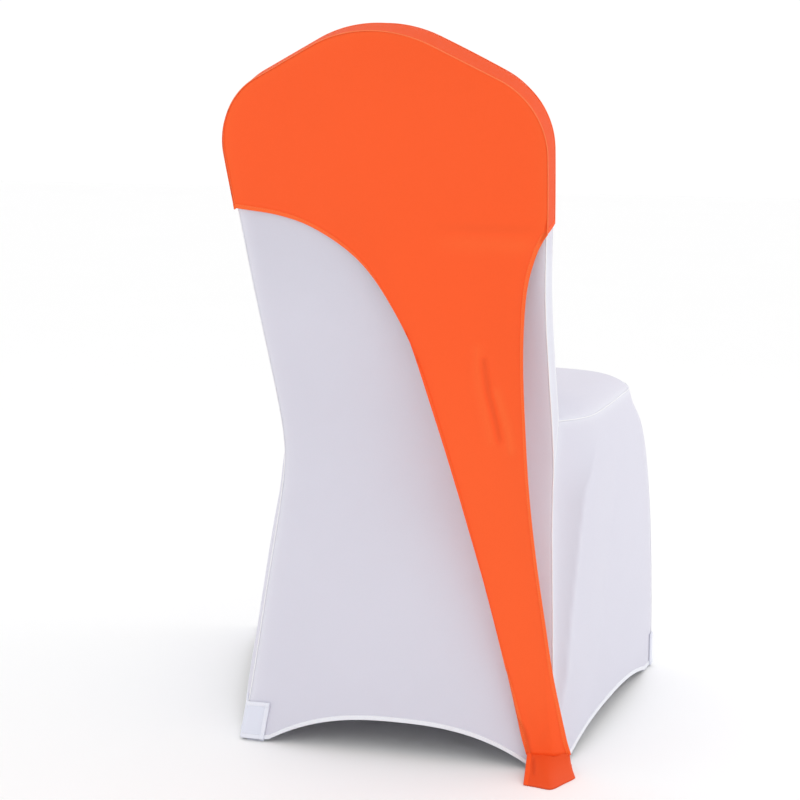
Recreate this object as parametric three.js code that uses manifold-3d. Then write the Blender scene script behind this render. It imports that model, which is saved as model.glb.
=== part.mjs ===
// A stretch chair cover with a fitted sash, in the true shape it takes on a banquet chair with a
// crowned back. The chair itself is left out, so the cover is hollow. Millimetres, +Z up.
// The shape is worked out with the floor at z = 0, the chair's middle plane at x = 0 and the
// cloth at the waist of the back at y = 0, the front of the chair facing -Y. The finished group
// is then moved, so that the inside of the crown, where the chair holds the cover, is the origin.
import * as THREE from 'three';
import { mergeVertices } from 'three/addons/utils/BufferGeometryUtils.js';
import Module from 'manifold-3d';

const wasm = await Module();
wasm.setup();

// ---------------------------------------------------------------- cloth and seams
const cloth = 1.5; // thickness of every panel
const seamGap = 0.8; // between two panels that are sewn together
const layerGap = 0.8; // between the cover and the sash lying on it
const squareCorner = 1.4; // mitre of a seam between two panels at about a right angle
const flatCorner = 0; // mitre of a seam between two panels in line
const leastSquare = 0.6; // limit on how far a slanted grid line stretches the gap

// ---------------------------------------------------------------- driving dimensions
const boxingDepth = 36; // the strip between the back's two faces
const boxingRise = 10; // how much higher the front face's edge is than the rear face's
const boxingFlare = 2; // how much wider the front face is on each side
const waistHeight = 376; // where the strip at the side of the back runs out
const stripEnd = 6; // width to which it narrows there
const soleHeight = 3; // thickness of the pocket soles under the feet
const hemHeight = soleHeight + 0.6; // cloth at the feet, on the soles
const hemRise = { back: 41, side: 21, front: 38 }; // arch of each hem between two feet
const hemFlat = 0.17; // share of the half width at each foot where the hem stays flat
const backPadding = 7; // how far the padded inside of the back stands forward
const paddingEase = 190; // height below the crown over which it does so
const seatDome = 20; // crown of the seat over its seam
const rearDome = 13; // and of its seam with the back
const domePower = 8; // how square the crown is

// The rear panel: for each height, the depth of its side seams behind the waist, the half width
// between them, how far the cloth is drawn towards the tail, and how far its middle stands back.
const backRows = [
  { z: 0, depth: 81, half: 213, lean: -6, belly: 3 },
  { z: 60, depth: 70, half: 204.5, lean: -6, belly: 6 },
  { z: 120, depth: 59, half: 198, lean: -6.5, belly: 12 },
  { z: 200, depth: 43, half: 191.5, lean: -8, belly: 18 },
  { z: 290, depth: 20, half: 184, lean: -9, belly: 22 },
  { z: 345, depth: 4, half: 181, lean: -9, belly: 25 },
  { z: 376, depth: 0, half: 180.5, lean: -9, belly: 25 },
  { z: 405, depth: 4, half: 180.5, lean: -8, belly: 23 },
  { z: 440, depth: 15, half: 181, lean: -6.5, belly: 19 },
  { z: 500, depth: 41, half: 182, lean: -4, belly: 12 },
  { z: 600, depth: 84, half: 185, lean: 0, belly: 6 },
  { z: 700, depth: 124, half: 190.5, lean: 0, belly: 4 },
  { z: 790, depth: 160, half: 194.5, lean: 0, belly: 3 },
  { z: 860, depth: 190, half: 194.5, lean: 0, belly: 3 },
  { z: 930, depth: 223, half: 194.5, lean: 0, belly: 3 },
];
// The crown: a rounded shoulder, a straight slope and a wide round top.
const crown = { shoulderRadius: 92, shoulderHeight: 779, slope: 26.5, topRadius: 150, split: 34 };
// The padded face's crown stands a little higher on the right slope.
const crownSkew = { rise: 4, middle: -90, reach: 80 };

// The seat's seam on each side, from the back to the front corner.
const seatRows = [
  { left: 187, right: 211, y: -62, z: 432 },
  { left: 193, right: 225, y: -98, z: 431 },
  { left: 206, right: 236, y: -170, z: 431 },
  { left: 222, right: 245, y: -260, z: 431 },
  { left: 231, right: 249, y: -330, z: 430 },
  { left: 230, right: 240, y: -374, z: 430 },
];
// The seat's front seam: its middle, and a point on each side where it rounds to the corner.
const seatFront = { y: -398, z: 434, roundX: 170, roundY: -392, roundZ: 432 };

// The front corners of the skirt, from the seat's corners down to the feet.
const cornerRows = [
  { left: 230, leftY: -374, right: 240, rightY: -374, z: 430 },
  { left: 238, leftY: -376, right: 249, rightY: -376, z: 405 },
  { left: 254, leftY: -376, right: 263, rightY: -376, z: 375 },
  { left: 266, leftY: -375, right: 272, rightY: -374, z: 335 },
  { left: 281, leftY: -374, right: 279, rightY: -372, z: 280 },
  { left: 298, leftY: -375, right: 285, rightY: -370, z: 210 },
  { left: 318, leftY: -377, right: 290, rightY: -367, z: 110 },
  { left: 337, leftY: -380, right: 293, rightY: -365, z: 4 },
];

// The crease in each side skirt, pulled tight from the seat's rear corner to the rear foot: its
// height, where it starts as shares across and down the skirt, its half width, how rounded its top
// is, and the shares over which it grows and dies away.
const sideCrease = { left: 0, right: 13, topAcross: 0.3, topDown: 0.12, width: 0.2, sharp: 0.05 };
const creaseBend = 0.8; // how soon the crease turns to the foot
const creaseFade = { grow: 0.3, end: 0.88, die: 0.2, rearMin: 0.02 };

// The sash: its lower edge from the hood to the foot, seen from behind, and the height and depth
// of the straight line along which it is pulled from the hood to the rear foot.
const tailRows = [
  { leftX: 195, leftZ: 708, rightX: -194, rightZ: 686 },
  { leftX: 136, leftZ: 700, rightX: -185, rightZ: 676 },
  { leftX: 90, leftZ: 684, rightX: -177, rightZ: 658 },
  { leftX: 39, leftZ: 649, rightX: -169.5, rightZ: 626 },
  { leftX: 3, leftZ: 602, rightX: -165.5, rightZ: 584 },
  { leftX: -34, leftZ: 528, rightX: -165, rightZ: 520 },
  { leftX: -67, leftZ: 429, rightX: -170, rightZ: 427 },
  { leftX: -90, leftZ: 354, rightX: -176, rightZ: 354 },
  { leftX: -112, leftZ: 278, rightX: -185, rightZ: 278 },
  { leftX: -133, leftZ: 201, rightX: -196.5, rightZ: 201 },
  { leftX: -153, leftZ: 123, rightX: -209, rightZ: 123 },
  { leftX: -170, leftZ: 52, rightX: -223, rightZ: 52 },
  { leftX: -177, leftZ: 23, rightX: -227, rightZ: 26 },
];
const tailTop = { z: 690, y: 121 };
const tailFoot = { z: 20, y: 88 };
const tailSoft = 5; // how gently the sash leaves the cover
const tailHug = { from: 230, to: 60, turn: 8, reach: 20, before: 6 }; // where it turns round the rear leg

// The foot pockets.
const pocket = { height: 52, reach: 30, innerHeight: 42, patchGap: 0.7 };
const wallSink = 1; // height over the sole's underside at which its walls start
// The sash's own pocket, from the end of the tail down to its edge on the floor behind the foot.
const sashSole = 1.2; // thickness under the foot
const sashPocketFront = { left: -192, y: 52 }; // where its sole ends under the foot
const sashPocketShape = { slit: 1, flare: 1.3, swell: 2.5, forward: 4, inside: 3 };
const sashPocketEdge = [
  { x: -180, y: 118 },
  { x: -197, y: 127 },
  { x: -215, y: 129 },
  { x: -230, y: 112 },
  { x: -239, y: 92 },
  { x: -240, y: 74 },
];

// Grid of the panels.
const across = 14; // columns between two side seams
const sideHeights = [crown.shoulderHeight, 740, 690, 640, 590, 545, 505, 470, 445, 424, 400, waistHeight];
const taperRows = 2; // rows over which the side strip runs out
const legHeights = [waistHeight, 350, 320, 280, 235, 190, 145, 95, pocket.height, 28, hemHeight];
const seatSteps = 12;
const tailSteps = 24;

// ---------------------------------------------------------------- small helpers
const vec = (x, y, z) => new THREE.Vector3(x, y, z);
const mix = (a, b, t) => a + (b - a) * t;
const clamp01 = (t) => Math.min(1, Math.max(0, t));
const ease = (t) => clamp01(t) ** 2 * (3 - 2 * clamp01(t));
const steps = (count) => Array.from({ length: count + 1 }, (_, i) => i / count);
const last = (list) => list[list.length - 1];

// Smooth curve through one column of a table, over another column that only grows or falls.
function smooth(rows, over, column, at) {
  const sign = Math.sign(last(rows)[over] - rows[0][over]);
  let k = rows.findIndex((row) => sign * row[over] > sign * at) - 1;
  if (k === -2) k = rows.length - 2;
  k = Math.max(0, k);
  const slopeAt = (i) => {
    const a = rows[Math.max(0, i - 1)];
    const b = rows[Math.min(rows.length - 1, i + 1)];
    return (b[column] - a[column]) / (b[over] - a[over]);
  };
  const span = rows[k + 1][over] - rows[k][over];
  const t = clamp01((at - rows[k][over]) / span);
  const rise = rows[k + 1][column] - rows[k][column];
  const m0 = slopeAt(k) * span;
  const m1 = slopeAt(k + 1) * span;
  return rows[k][column] + m0 * t + (3 * rise - 2 * m0 - m1) * t ** 2 + (m0 + m1 - 2 * rise) * t ** 3;
}

// Evenly spaced points on a smooth curve through some points.
function through(points, count) {
  return new THREE.CatmullRomCurve3(points, false, 'centripetal').getSpacedPoints(count);
}

// A patch between four edges that share their corners: rows run from the top edge to the bottom.
function patch(top, bottom, left, right) {
  const share = (edge) => {
    const run = [0];
    for (let i = 1; i < edge.length; i++) run.push(last(run) + edge[i].distanceTo(edge[i - 1]));
    return run.map((d) => d / last(run));
  };
  const [uTop, uBottom, vLeft, vRight] = [top, bottom, left, right].map(share);
  return left.map((_, j) =>
    top.map((_, i) => {
      const v = (vLeft[j] + vRight[j]) / 2;
      const u = mix(uTop[i], uBottom[i], v);
      const corners = vec(0, 0, 0)
        .addScaledVector(top[0], (1 - u) * (1 - v))
        .addScaledVector(last(top), u * (1 - v))
        .addScaledVector(bottom[0], (1 - u) * v)
        .addScaledVector(last(bottom), u * v);
      return vec(0, 0, 0)
        .addScaledVector(top[i], 1 - v)
        .addScaledVector(bottom[i], v)
        .addScaledVector(left[j], 1 - u)
        .addScaledVector(right[j], u)
        .sub(corners);
    })
  );
}

// Normals of a grid of points, on the side that `side` (1 or -1) picks.
function gridNormals(rows, side) {
  return rows.map((row, j) =>
    row.map((_, i) => {
      const along = row[Math.min(i + 1, row.length - 1)].clone().sub(row[Math.max(i - 1, 0)]);
      const down = rows[Math.min(j + 1, rows.length - 1)][i].clone().sub(rows[Math.max(j - 1, 0)][i]);
      return along.cross(down).normalize().multiplyScalar(side);
    })
  );
}

// A closed solid between two grids of points, its outer face and its inner face.
function solidBetween(outer, inner, side) {
  const [m, n] = [outer.length - 1, outer[0].length - 1];
  const at = (layer, j, i) => (layer * (m + 1) + j) * (n + 1) + i;
  const faces = [];
  const quad = (a, b, c, d) => faces.push(side > 0 ? [a, b, c, a, c, d] : [a, c, b, a, d, c]);
  for (let j = 0; j < m; j++) {
    for (let i = 0; i < n; i++) {
      quad(at(0, j, i), at(0, j, i + 1), at(0, j + 1, i + 1), at(0, j + 1, i));
      quad(at(1, j, i), at(1, j + 1, i), at(1, j + 1, i + 1), at(1, j, i + 1));
    }
    quad(at(0, j, 0), at(0, j + 1, 0), at(1, j + 1, 0), at(1, j, 0));
    quad(at(0, j + 1, n), at(0, j, n), at(1, j, n), at(1, j + 1, n));
  }
  for (let i = 0; i < n; i++) {
    quad(at(0, 0, i + 1), at(0, 0, i), at(1, 0, i), at(1, 0, i + 1));
    quad(at(0, m, i), at(0, m, i + 1), at(1, m, i + 1), at(1, m, i));
  }
  return new THREE.BufferGeometry().setFromPoints([outer, inner].flat(2)).setIndex(faces.flat());
}

// A sheet of cloth: `rows` is its outer face and `side` says which way is out. `seams` gives the
// mitre of each edge that is sewn to another panel, as a number or a function of the row; an edge
// left out is a free hem.
function sheet(rows, side, seams = {}) {
  const normals = gridNormals(rows, side);
  const [m, n] = [rows.length - 1, rows[0].length - 1];
  const at = (j, i) => rows[Math.min(m, Math.max(0, j))][Math.min(n, Math.max(0, i))];
  const edges = {
    top: { touches: (j) => j === 0, inward: [1, 0], along: [0, 1] },
    bottom: { touches: (j) => j === m, inward: [-1, 0], along: [0, 1] },
    left: { touches: (j, i) => i === 0, inward: [0, 1], along: [1, 0] },
    right: { touches: (j, i) => i === n, inward: [0, -1], along: [1, 0] },
  };
  const layer = (depth) => rows.map((row, j) => row.map((corner, i) => {
    const p = corner.clone().addScaledVector(normals[j][i], -depth);
    for (const [name, mitre] of Object.entries(seams)) {
      const { touches, inward, along } = edges[name];
      if (!touches(j, i)) continue;
      const pull = at(j + inward[0], i + inward[1]).clone().sub(corner).normalize();
      const seam = at(j + along[0], i + along[1]).clone().sub(at(j - along[0], i - along[1]));
      const squareness = pull.clone().cross(seam.normalize()).length();
      const inset = seamGap / 2 + depth * (typeof mitre === 'function' ? mitre(j) : mitre);
      p.addScaledVector(pull, inset / Math.max(leastSquare, squareness));
    }
    return p.setZ(Math.max(p.z, 0));
  }));
  return solidBetween(layer(0), layer(cloth), side);
}

// ---------------------------------------------------------------- the back
const backValue = (column, z) => smooth(backRows, 'z', column, z);

// Depth of the rear panel's outer face at a point seen from behind.
function backDepth(x, z) {
  const share = (x - backValue('lean', z)) / backValue('half', z);
  return backValue('depth', z) + backValue('belly', z) * (1 - Math.min(1, share * share));
}

const backPoint = (x, z) => vec(x, backDepth(x, z), z);

// Side seam of the rear panel on one side (1 left, -1 right as seen from behind), `out` beyond it.
function sideSeam(z, hand, out = 0) {
  return { x: hand * (backValue('half', z) + out) + backValue('lean', z), z };
}

// Half of the crown's outline, from one angle of the shoulder to the top.
function crownPath(hand, fromAngle, out = 0) {
  const rad = THREE.MathUtils.degToRad;
  const { shoulderRadius, shoulderHeight, slope, topRadius } = crown;
  const centre = backValue('half', shoulderHeight) - shoulderRadius;
  const shoulder = (angle) => ({
    x: centre + (shoulderRadius + out) * Math.cos(rad(angle)),
    z: shoulderHeight + (shoulderRadius + out) * Math.sin(rad(angle)),
  });
  const shoulderEnd = shoulder(90 - slope);
  const topEndX = (topRadius + out) * Math.sin(rad(slope));
  const topEndZ = shoulderEnd.z + (shoulderEnd.x - topEndX) * Math.tan(rad(slope));
  const topCentreZ = topEndZ - (topRadius + out) * Math.cos(rad(slope));
  const top = (angle) => ({
    x: (topRadius + out) * Math.cos(rad(angle)),
    z: topCentreZ + (topRadius + out) * Math.sin(rad(angle)),
  });
  const path = [
    ...steps(2).map((t) => shoulder(mix(fromAngle, 90 - slope, t))),
    ...steps(3).slice(1).map((t) => ({
      x: mix(shoulderEnd.x, topEndX, t),
      z: mix(shoulderEnd.z, topEndZ, t),
    })),
    ...steps(2).slice(1).map((t) => top(mix(90 - slope, 90, t))),
  ];
  return path.map((p) => ({ x: hand * p.x, z: p.z }));
}

// The crown from the left shoulder over the top to the right shoulder.
function crownEdge(out = 0) {
  return [...crownPath(1, crown.split, out), ...crownPath(-1, crown.split, out).reverse().slice(1)];
}

// The rest of one shoulder, then the side down to the heights asked for.
function sideEdge(hand, heights, out = 0) {
  const centre = backValue('half', crown.shoulderHeight) - crown.shoulderRadius;
  const arc = [1, 0.5].map((share) => {
    const angle = THREE.MathUtils.degToRad(crown.split * share);
    return {
      x: hand * (centre + (crown.shoulderRadius + out) * Math.cos(angle)),
      z: crown.shoulderHeight + (crown.shoulderRadius + out) * Math.sin(angle),
    };
  });
  return [...arc, ...heights.map((z) => sideSeam(z, hand, out))];
}

const onBack = ({ x, z }) => backPoint(x, z);

// Height of the crown's outline over a point across the back.
function crownHeight(x) {
  const outline = crownEdge();
  const k = outline.findIndex((p) => p.x <= x);
  if (k < 1) return outline[0].z;
  const [a, b] = [outline[k - 1], outline[k]];
  return mix(a.z, b.z, (x - a.x) / (b.x - a.x));
}

// Depth of the padded face of the back that the sitter leans on.
function insideDepth(x, z) {
  const below = ease((crownHeight(x) + boxingRise - z) / paddingEase);
  const within = 1 - Math.min(1, Math.abs(x / backValue('half', z))) ** 4;
  return backDepth(x, z - boxingRise) - boxingDepth - backPadding * below * within;
}

// How much higher the front face's edge is than the rear face's.
function riseAt(x) {
  const share = (x - crownSkew.middle) / crownSkew.reach;
  return boxingRise + crownSkew.rise * Math.max(0, 1 - share * share);
}

// The front edge of the side strip, for a point of its rear edge; `hand` runs from 1 on the left
// to -1 on the right.
const behindToFront = (p, hand) => vec(p.x + hand * boxingFlare, p.y - boxingDepth, p.z + riseAt(p.x));
const handAlong = (i, line) => 1 - (2 * i) / (line.length - 1);

// Arch of a hem over one foot-to-foot span, for a share from 0 to 1 across it.
function hemArch(share, rise) {
  const fromMiddle = Math.abs(2 * share - 1) / (1 - hemFlat);
  return rise * (1 - Math.min(1, fromMiddle) ** 2.5);
}

function hemLine(from, to, rise, count) {
  return steps(count).map((t) => from.clone().lerp(to, t).add(vec(0, 0, hemArch(t, rise))));
}

// ---------------------------------------------------------------- seams shared by the panels
const hands = { left: 1, right: -1 };
const crownSeam = crownEdge().map(onBack);
const sideSeams = {};
const legSeams = {};
const frontEdges = {}; // front edge of the side strip, from the shoulder down to the waist
const seatSeams = {};
const cornerSeams = {};
for (const [name, hand] of Object.entries(hands)) {
  sideSeams[name] = sideEdge(hand, sideHeights).map(onBack);
  legSeams[name] = legHeights.map((z) => sideSeam(z, hand)).map(onBack);
  const straight = sideSeams[name].slice(0, -taperRows).map((p) => behindToFront(p, hand));
  const seatCorner = last(straight);
  const waist = last(sideSeams[name]);
  const stripFoot = waist.clone().add(vec(0, -stripEnd, 0));
  const taper = steps(taperRows).slice(1).map((t) => seatCorner.clone().lerp(stripFoot, t));
  frontEdges[name] = [...straight, ...taper];
  const seam = seatRows.map((row) => vec(hand * row[name], row.y, row.z));
  seatSeams[name] = through([seatCorner, ...seam], seatSteps);
  const besideStrip = steps(taperRows).slice(0, -1).map((t) => mix(cornerRows[0].z, waistHeight, t));
  const at = (column, z) => smooth(cornerRows, 'z', column, z);
  const cornerHeights = [...besideStrip, ...legHeights];
  cornerSeams[name] = cornerHeights.map((z) => vec(hand * at(name, z), at(`${name}Y`, z), z));
}
const crownFront = crownSeam.map((p, i) => behindToFront(p, handAlong(i, crownSeam)));

// Rear panel, from the crown to the arched hem between the rear feet.
function rearPanel() {
  const hem = hemLine(last(legSeams.left), last(legSeams.right), hemRise.back, across);
  const left = [...sideSeams.left, ...legSeams.left.slice(1)];
  const right = [...sideSeams.right, ...legSeams.right.slice(1)];
  const rows = patch(crownSeam, hem, left, right);
  return rows.map((row, j) => row.map((p, i) => {
    const edge = j === 0 || i === 0 || i === across;
    return edge ? p : backPoint(p.x, p.z);
  }));
}

// The strip round the back, from one waist over the crown to the other.
function stripRows(rearEdge, frontEdge) {
  return rearEdge.map((p, i) => [p, p.clone().lerp(frontEdge[i], 0.5), frontEdge[i]]);
}

const around = (edges, top, keep) => [
  ...edges.left.slice(0, keep).reverse(),
  ...top.slice(1, -1),
  ...edges.right.slice(0, keep),
];

// Inside of the back, from the crown down to the seat.
const seatLine = steps(across).map((t) => {
  const [from, to] = [seatSeams.left[0], seatSeams.right[0]];
  const p = from.clone().lerp(to, t);
  const swell = 1 - (2 * t - 1) ** 2;
  return p.add(vec(0, -backPadding * swell, rearDome * swell));
});

function insidePanel() {
  const left = frontEdges.left.slice(0, -taperRows);
  const right = frontEdges.right.slice(0, -taperRows);
  const rows = patch(crownFront, seatLine, left, right);
  return rows.map((row, j) => row.map((p, i) => {
    if (j === 0 || j === rows.length - 1 || i === 0 || i === across) return p;
    const nearSeat = ease(6 * (j / (rows.length - 1)) - 5);
    return vec(p.x, mix(insideDepth(p.x, p.z), p.y, nearSeat), p.z);
  }));
}

// Seat, domed over its seams.
const frontSeam = through([
  last(seatSeams.left),
  vec(seatFront.roundX, seatFront.roundY, seatFront.roundZ),
  vec(0, seatFront.y, seatFront.z),
  vec(-seatFront.roundX, seatFront.roundY, seatFront.roundZ),
  last(seatSeams.right),
], across);

function seatPanel() {
  const rows = patch(seatLine, frontSeam, seatSeams.left, seatSeams.right);
  return rows.map((row, j) => row.map((p, i) => {
    const u = i / across;
    const v = j / (rows.length - 1);
    const dome = (1 - (2 * u - 1) ** domePower) * (1 - v ** domePower) * mix(0.5, 1, ease(3 * v));
    const edge = j === 0 || j === rows.length - 1 || i === 0 || i === across;
    return edge ? p : p.clone().add(vec(0, 0, seatDome * dome));
  }));
}

// Side skirt, with the tight crease from the seat's rear corner to the rear foot.
function sidePanel(name) {
  const rear = [...frontEdges[name].slice(-taperRows - 1), ...legSeams[name].slice(1)];
  const hem = hemLine(last(rear), last(cornerSeams[name]), hemRise.side, seatSteps);
  const rows = patch(seatSeams[name], hem, rear, cornerSeams[name]);
  const out = gridNormals(rows, hands[name]);
  const { topAcross, topDown, width, sharp } = sideCrease;
  const { grow, end, die, rearMin } = creaseFade;
  return rows.map((row, j) => row.map((p, i) => {
    const u = i / seatSteps;
    const v = j / (rows.length - 1);
    const line = topAcross * (1 - ease((v - topDown) / (1 - topDown)) ** creaseBend);
    const away = Math.sqrt((u - line) ** 2 + sharp ** 2) - sharp;
    const fade = ease((v - topDown) / grow) * ease((end - v) / die) * ease(u / Math.max(line, rearMin));
    const edge = j === 0 || j === rows.length - 1 || i === 0 || i === seatSteps;
    const swell = edge ? 0 : sideCrease[name] * fade * Math.max(0, 1 - away / width);
    return p.clone().addScaledVector(out[j][i], swell);
  }));
}

function frontPanel() {
  const hem = hemLine(last(cornerSeams.left), last(cornerSeams.right), hemRise.front, across);
  return patch(frontSeam, hem, cornerSeams.left, cornerSeams.right);
}

// ---------------------------------------------------------------- the sash
const sashOut = cloth + layerGap; // outer face of the sash over the cover's outer face
const sashForward = 1.1 * sashOut; // the same, measured straight forwards on the leaning padded face

// Depth of the sash's outer face: on the cover, or on the straight pull to the foot.
function sashDepth(x, z) {
  const rake = (backDepth(x, z + 1) - backDepth(x, z - 1)) / 2;
  const onCover = backDepth(x, z) + sashOut * Math.hypot(1, rake);
  const pulled = mix(tailFoot.y, tailTop.y, (z - tailFoot.z) / (tailTop.z - tailFoot.z));
  const free = 0.5 * (onCover + pulled + Math.hypot(onCover - pulled, tailSoft));
  const corner = sideSeam(Math.min(z, tailHug.from), -1).x;
  const low = ease((tailHug.from - z) / (tailHug.from - tailHug.to));
  const turned = ease((corner + tailHug.before - x) / tailHug.reach) * tailHug.turn * low;
  return free - turned;
}

const onSash = ({ x, z }) => vec(x, sashDepth(x, z), z);
const hoodHeights = { left: [crown.shoulderHeight, 750, 708], right: [crown.shoulderHeight, 740, 686] };
const hoodCrown = crownEdge(sashOut).map(onSash);
const hoodSides = {
  left: sideEdge(1, hoodHeights.left, sashOut).map(onSash),
  right: sideEdge(-1, hoodHeights.right, sashOut).map(onSash),
};

function sashPanel() {
  const rung = (left, right) => steps(across).map((t) => ({
    x: mix(left.x, right.x, t),
    z: mix(left.z, right.z, t),
  }));
  const hem = rung(last(hoodSides.left), last(hoodSides.right)).map(onSash);
  const hood = patch(hoodCrown, hem, hoodSides.left, hoodSides.right);
  const onHood = hood.map((row, j) => row.map((p, i) => {
    const edge = j === 0 || i === 0 || i === across;
    return edge ? p : onSash(p);
  }));
  const number = tailRows.map((row, k) => ({ ...row, k }));
  const tail = steps(tailSteps).slice(1).map((t) => {
    const at = (column) => smooth(number, 'k', column, t * (tailRows.length - 1));
    const left = { x: at('leftX'), z: at('leftZ') };
    return rung(left, { x: at('rightX'), z: at('rightZ') }).map(onSash);
  });
  return [...onHood, ...tail];
}

// The hood's edge over the padded face, in front of a point of its edge over the rear panel.
function hoodInFront({ x, z }, hand) {
  return vec(x + hand * boxingFlare, backDepth(x, z) - boxingDepth - sashForward, z + riseAt(x));
}

const hoodFront = hoodCrown.map((p, i) => hoodInFront(p, handAlong(i, hoodCrown)));
const hoodFrontSides = {
  left: hoodSides.left.map((p) => hoodInFront(p, 1)),
  right: hoodSides.right.map((p) => hoodInFront(p, -1)),
};

function hoodInside() {
  const [from, to] = [last(hoodFrontSides.left), last(hoodFrontSides.right)];
  const hem = steps(across).map((t) => from.clone().lerp(to, t));
  const rows = patch(hoodFront, hem, hoodFrontSides.left, hoodFrontSides.right);
  return rows.map((row, j) => row.map((p, i) => {
    const edge = j === 0 || i === 0 || i === across;
    return edge ? p : vec(p.x, insideDepth(p.x, p.z) - sashForward - layerGap, p.z);
  }));
}

// ---------------------------------------------------------------- the feet
// Each foot pocket is worked out from the corner of two panels: the last rows of each, from the
// corner outwards, and which way out is. `a` and `b` run along the two hems, `lean` up the corner.
function footFrame(rowsA, rowsB, side) {
  const cut = (rows) => rows.slice(-3).map(([corner, next]) => [corner, next]);
  const [a, b] = [cut(rowsA), cut(rowsB)];
  const [above, corner] = [a[0][0], a[2][0]];
  const lean = above.clone().sub(corner).divideScalar(above.z - corner.z);
  const flatRun = ([from, to]) => to.clone().sub(from).setZ(0).normalize();
  return { corner, lean, a: flatRun(a[1]), b: flatRun(b[1]), rowsA: a, rowsB: b, side };
}

// A prism over an outline given along the two hems, following the lean of the corner.
function footPrism(frame, outline, from, to) {
  const shape = new THREE.Shape(outline.map(([s, t]) => new THREE.Vector2(s, t)));
  const prism = new THREE.ExtrudeGeometry(shape, { depth: to - from, bevelEnabled: false });
  const base = frame.corner.clone().addScaledVector(frame.lean, from - frame.corner.z);
  const place = new THREE.Matrix4().makeBasis(frame.a, frame.b, frame.lean).setPosition(base);
  prism.applyMatrix4(place);
  prism.deleteAttribute('normal');
  prism.deleteAttribute('uv');
  const geometry = mergeVertices(prism);
  if (place.determinant() < 0) geometry.index.array.reverse();
  return geometry;
}

function solidOf(geometry) {
  const vertProperties = geometry.attributes.position.array;
  const triVerts = Uint32Array.from(geometry.index.array);
  return new wasm.Manifold(new wasm.Mesh({ numProp: 3, vertProperties, triVerts }));
}

function join(a, b) {
  const { vertProperties, triVerts } = solidOf(a).add(solidOf(b)).getMesh();
  const geometry = new THREE.BufferGeometry();
  geometry.setAttribute('position', new THREE.BufferAttribute(vertProperties, 3));
  return geometry.setIndex(new THREE.BufferAttribute(triVerts, 1));
}

// The second layer sewn over the corner of the cover at a foot, round both panels.
function footPatch({ rowsA, rowsB, side }) {
  const reachAlong = ([from, to]) => from.clone().add(to.clone().sub(from).setLength(pocket.reach));
  const low = rowsA.map((row, j) => [reachAlong(row), row[0], reachAlong(rowsB[j])]);
  const normal = (row, next, i) => {
    const along = row[i + 1].clone().sub(row[i]);
    return along.cross(next[i].clone().sub(row[i])).normalize().multiplyScalar(side);
  };
  const layer = (out) => low.map((row, j) => {
    const [upper, lower] = j + 1 < low.length ? [row, low[j + 1]] : [low[j - 1], row];
    const [onA, onB] = [normal(upper, lower, 0), normal(upper, lower, 1)];
    const corner = onA.clone().add(onB).divideScalar(1 + onA.dot(onB));
    return [onA, corner, onB].map((n, i) => row[i].clone().addScaledVector(n.setZ(0), out));
  });
  return solidBetween(layer(pocket.patchGap + cloth), layer(pocket.patchGap), side);
}

// The sole under a foot and the two inner walls of its pocket.
function footSole(frame, from) {
  const [reach, wall, start] = [pocket.reach, cloth, 2 * cloth];
  const sole = footPrism(frame, [[0, 0], [reach, 0], [reach, reach], [0, reach]], from, soleHeight);
  const outline = [
    [reach - wall, start], [reach, start], [reach, reach],
    [start, reach], [start, reach - wall], [reach - wall, reach - wall],
  ];
  return join(sole, footPrism(frame, outline, from + wallSink, pocket.innerHeight));
}

// Panels turned so that each row starts at the corner and runs outwards.
const turned = (rows) => rows.map((row) => [...row].reverse());
const [rear, front] = [rearPanel(), frontPanel()];
const [leftSide, rightSide] = [sidePanel('left'), sidePanel('right')];
const feet = {
  rear_left: footFrame(rear, leftSide, 1),
  rear_right: footFrame(turned(rear), rightSide, -1),
  front_left: footFrame(front, turned(leftSide), -1),
  front_right: footFrame(turned(front), turned(rightSide), 1),
};

// The sash's pocket: its flared wall behind and beside the foot, and its sole under it.
function sashPocket() {
  const { slit, flare, swell, forward, inside } = sashPocketShape;
  const seam = last(sashPanel()).slice(slit).map((p) => p.clone().setZ(p.z - seamGap));
  const end = vec(last(seam).x - inside, last(sashPocketEdge).y - forward, last(seam).z);
  const top = through([...seam.filter((_, i) => i % 2 === 0), end], across);
  const edge = through(sashPocketEdge.map((p) => vec(p.x, p.y, 0)), across);
  const wall = steps(3).map((t) => top.map((p, i) => {
    const out = vec(0, swell * Math.sin(Math.PI * t), 0);
    return p.clone().lerp(edge[i], t ** flare).add(out);
  }));
  const { left, y } = sashPocketFront;
  const outline = [...edge.map((p) => [p.x, p.y]), [last(edge).x + 1, y], [left, y]];
  const world = { corner: vec(0, 0, 0), lean: vec(0, 0, 1), a: vec(1, 0, 0), b: vec(0, 1, 0) };
  return join(sheet(wall, -1), footPrism(world, outline, 0, sashSole));
}

// ---------------------------------------------------------------- the object
const cloths = {
  white: { color: 0xe6e6f0, roughness: 0.75, metalness: 0 },
  doubled: { color: 0xeeeef5, roughness: 0.7, metalness: 0 },
  orange: { color: 0xff6430, roughness: 0.65, metalness: 0 },
};
const group = new THREE.Group();
function add(name, clothName, geometry) {
  const mesh = new THREE.Mesh(geometry, new THREE.MeshStandardMaterial(cloths[clothName]));
  mesh.name = name;
  group.add(mesh);
}

const coverStrip = stripRows(around(sideSeams, crownSeam), around(frontEdges, crownFront));
const hoodStrip = stripRows(around(hoodSides, hoodCrown), around(hoodFrontSides, hoodFront));
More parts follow.
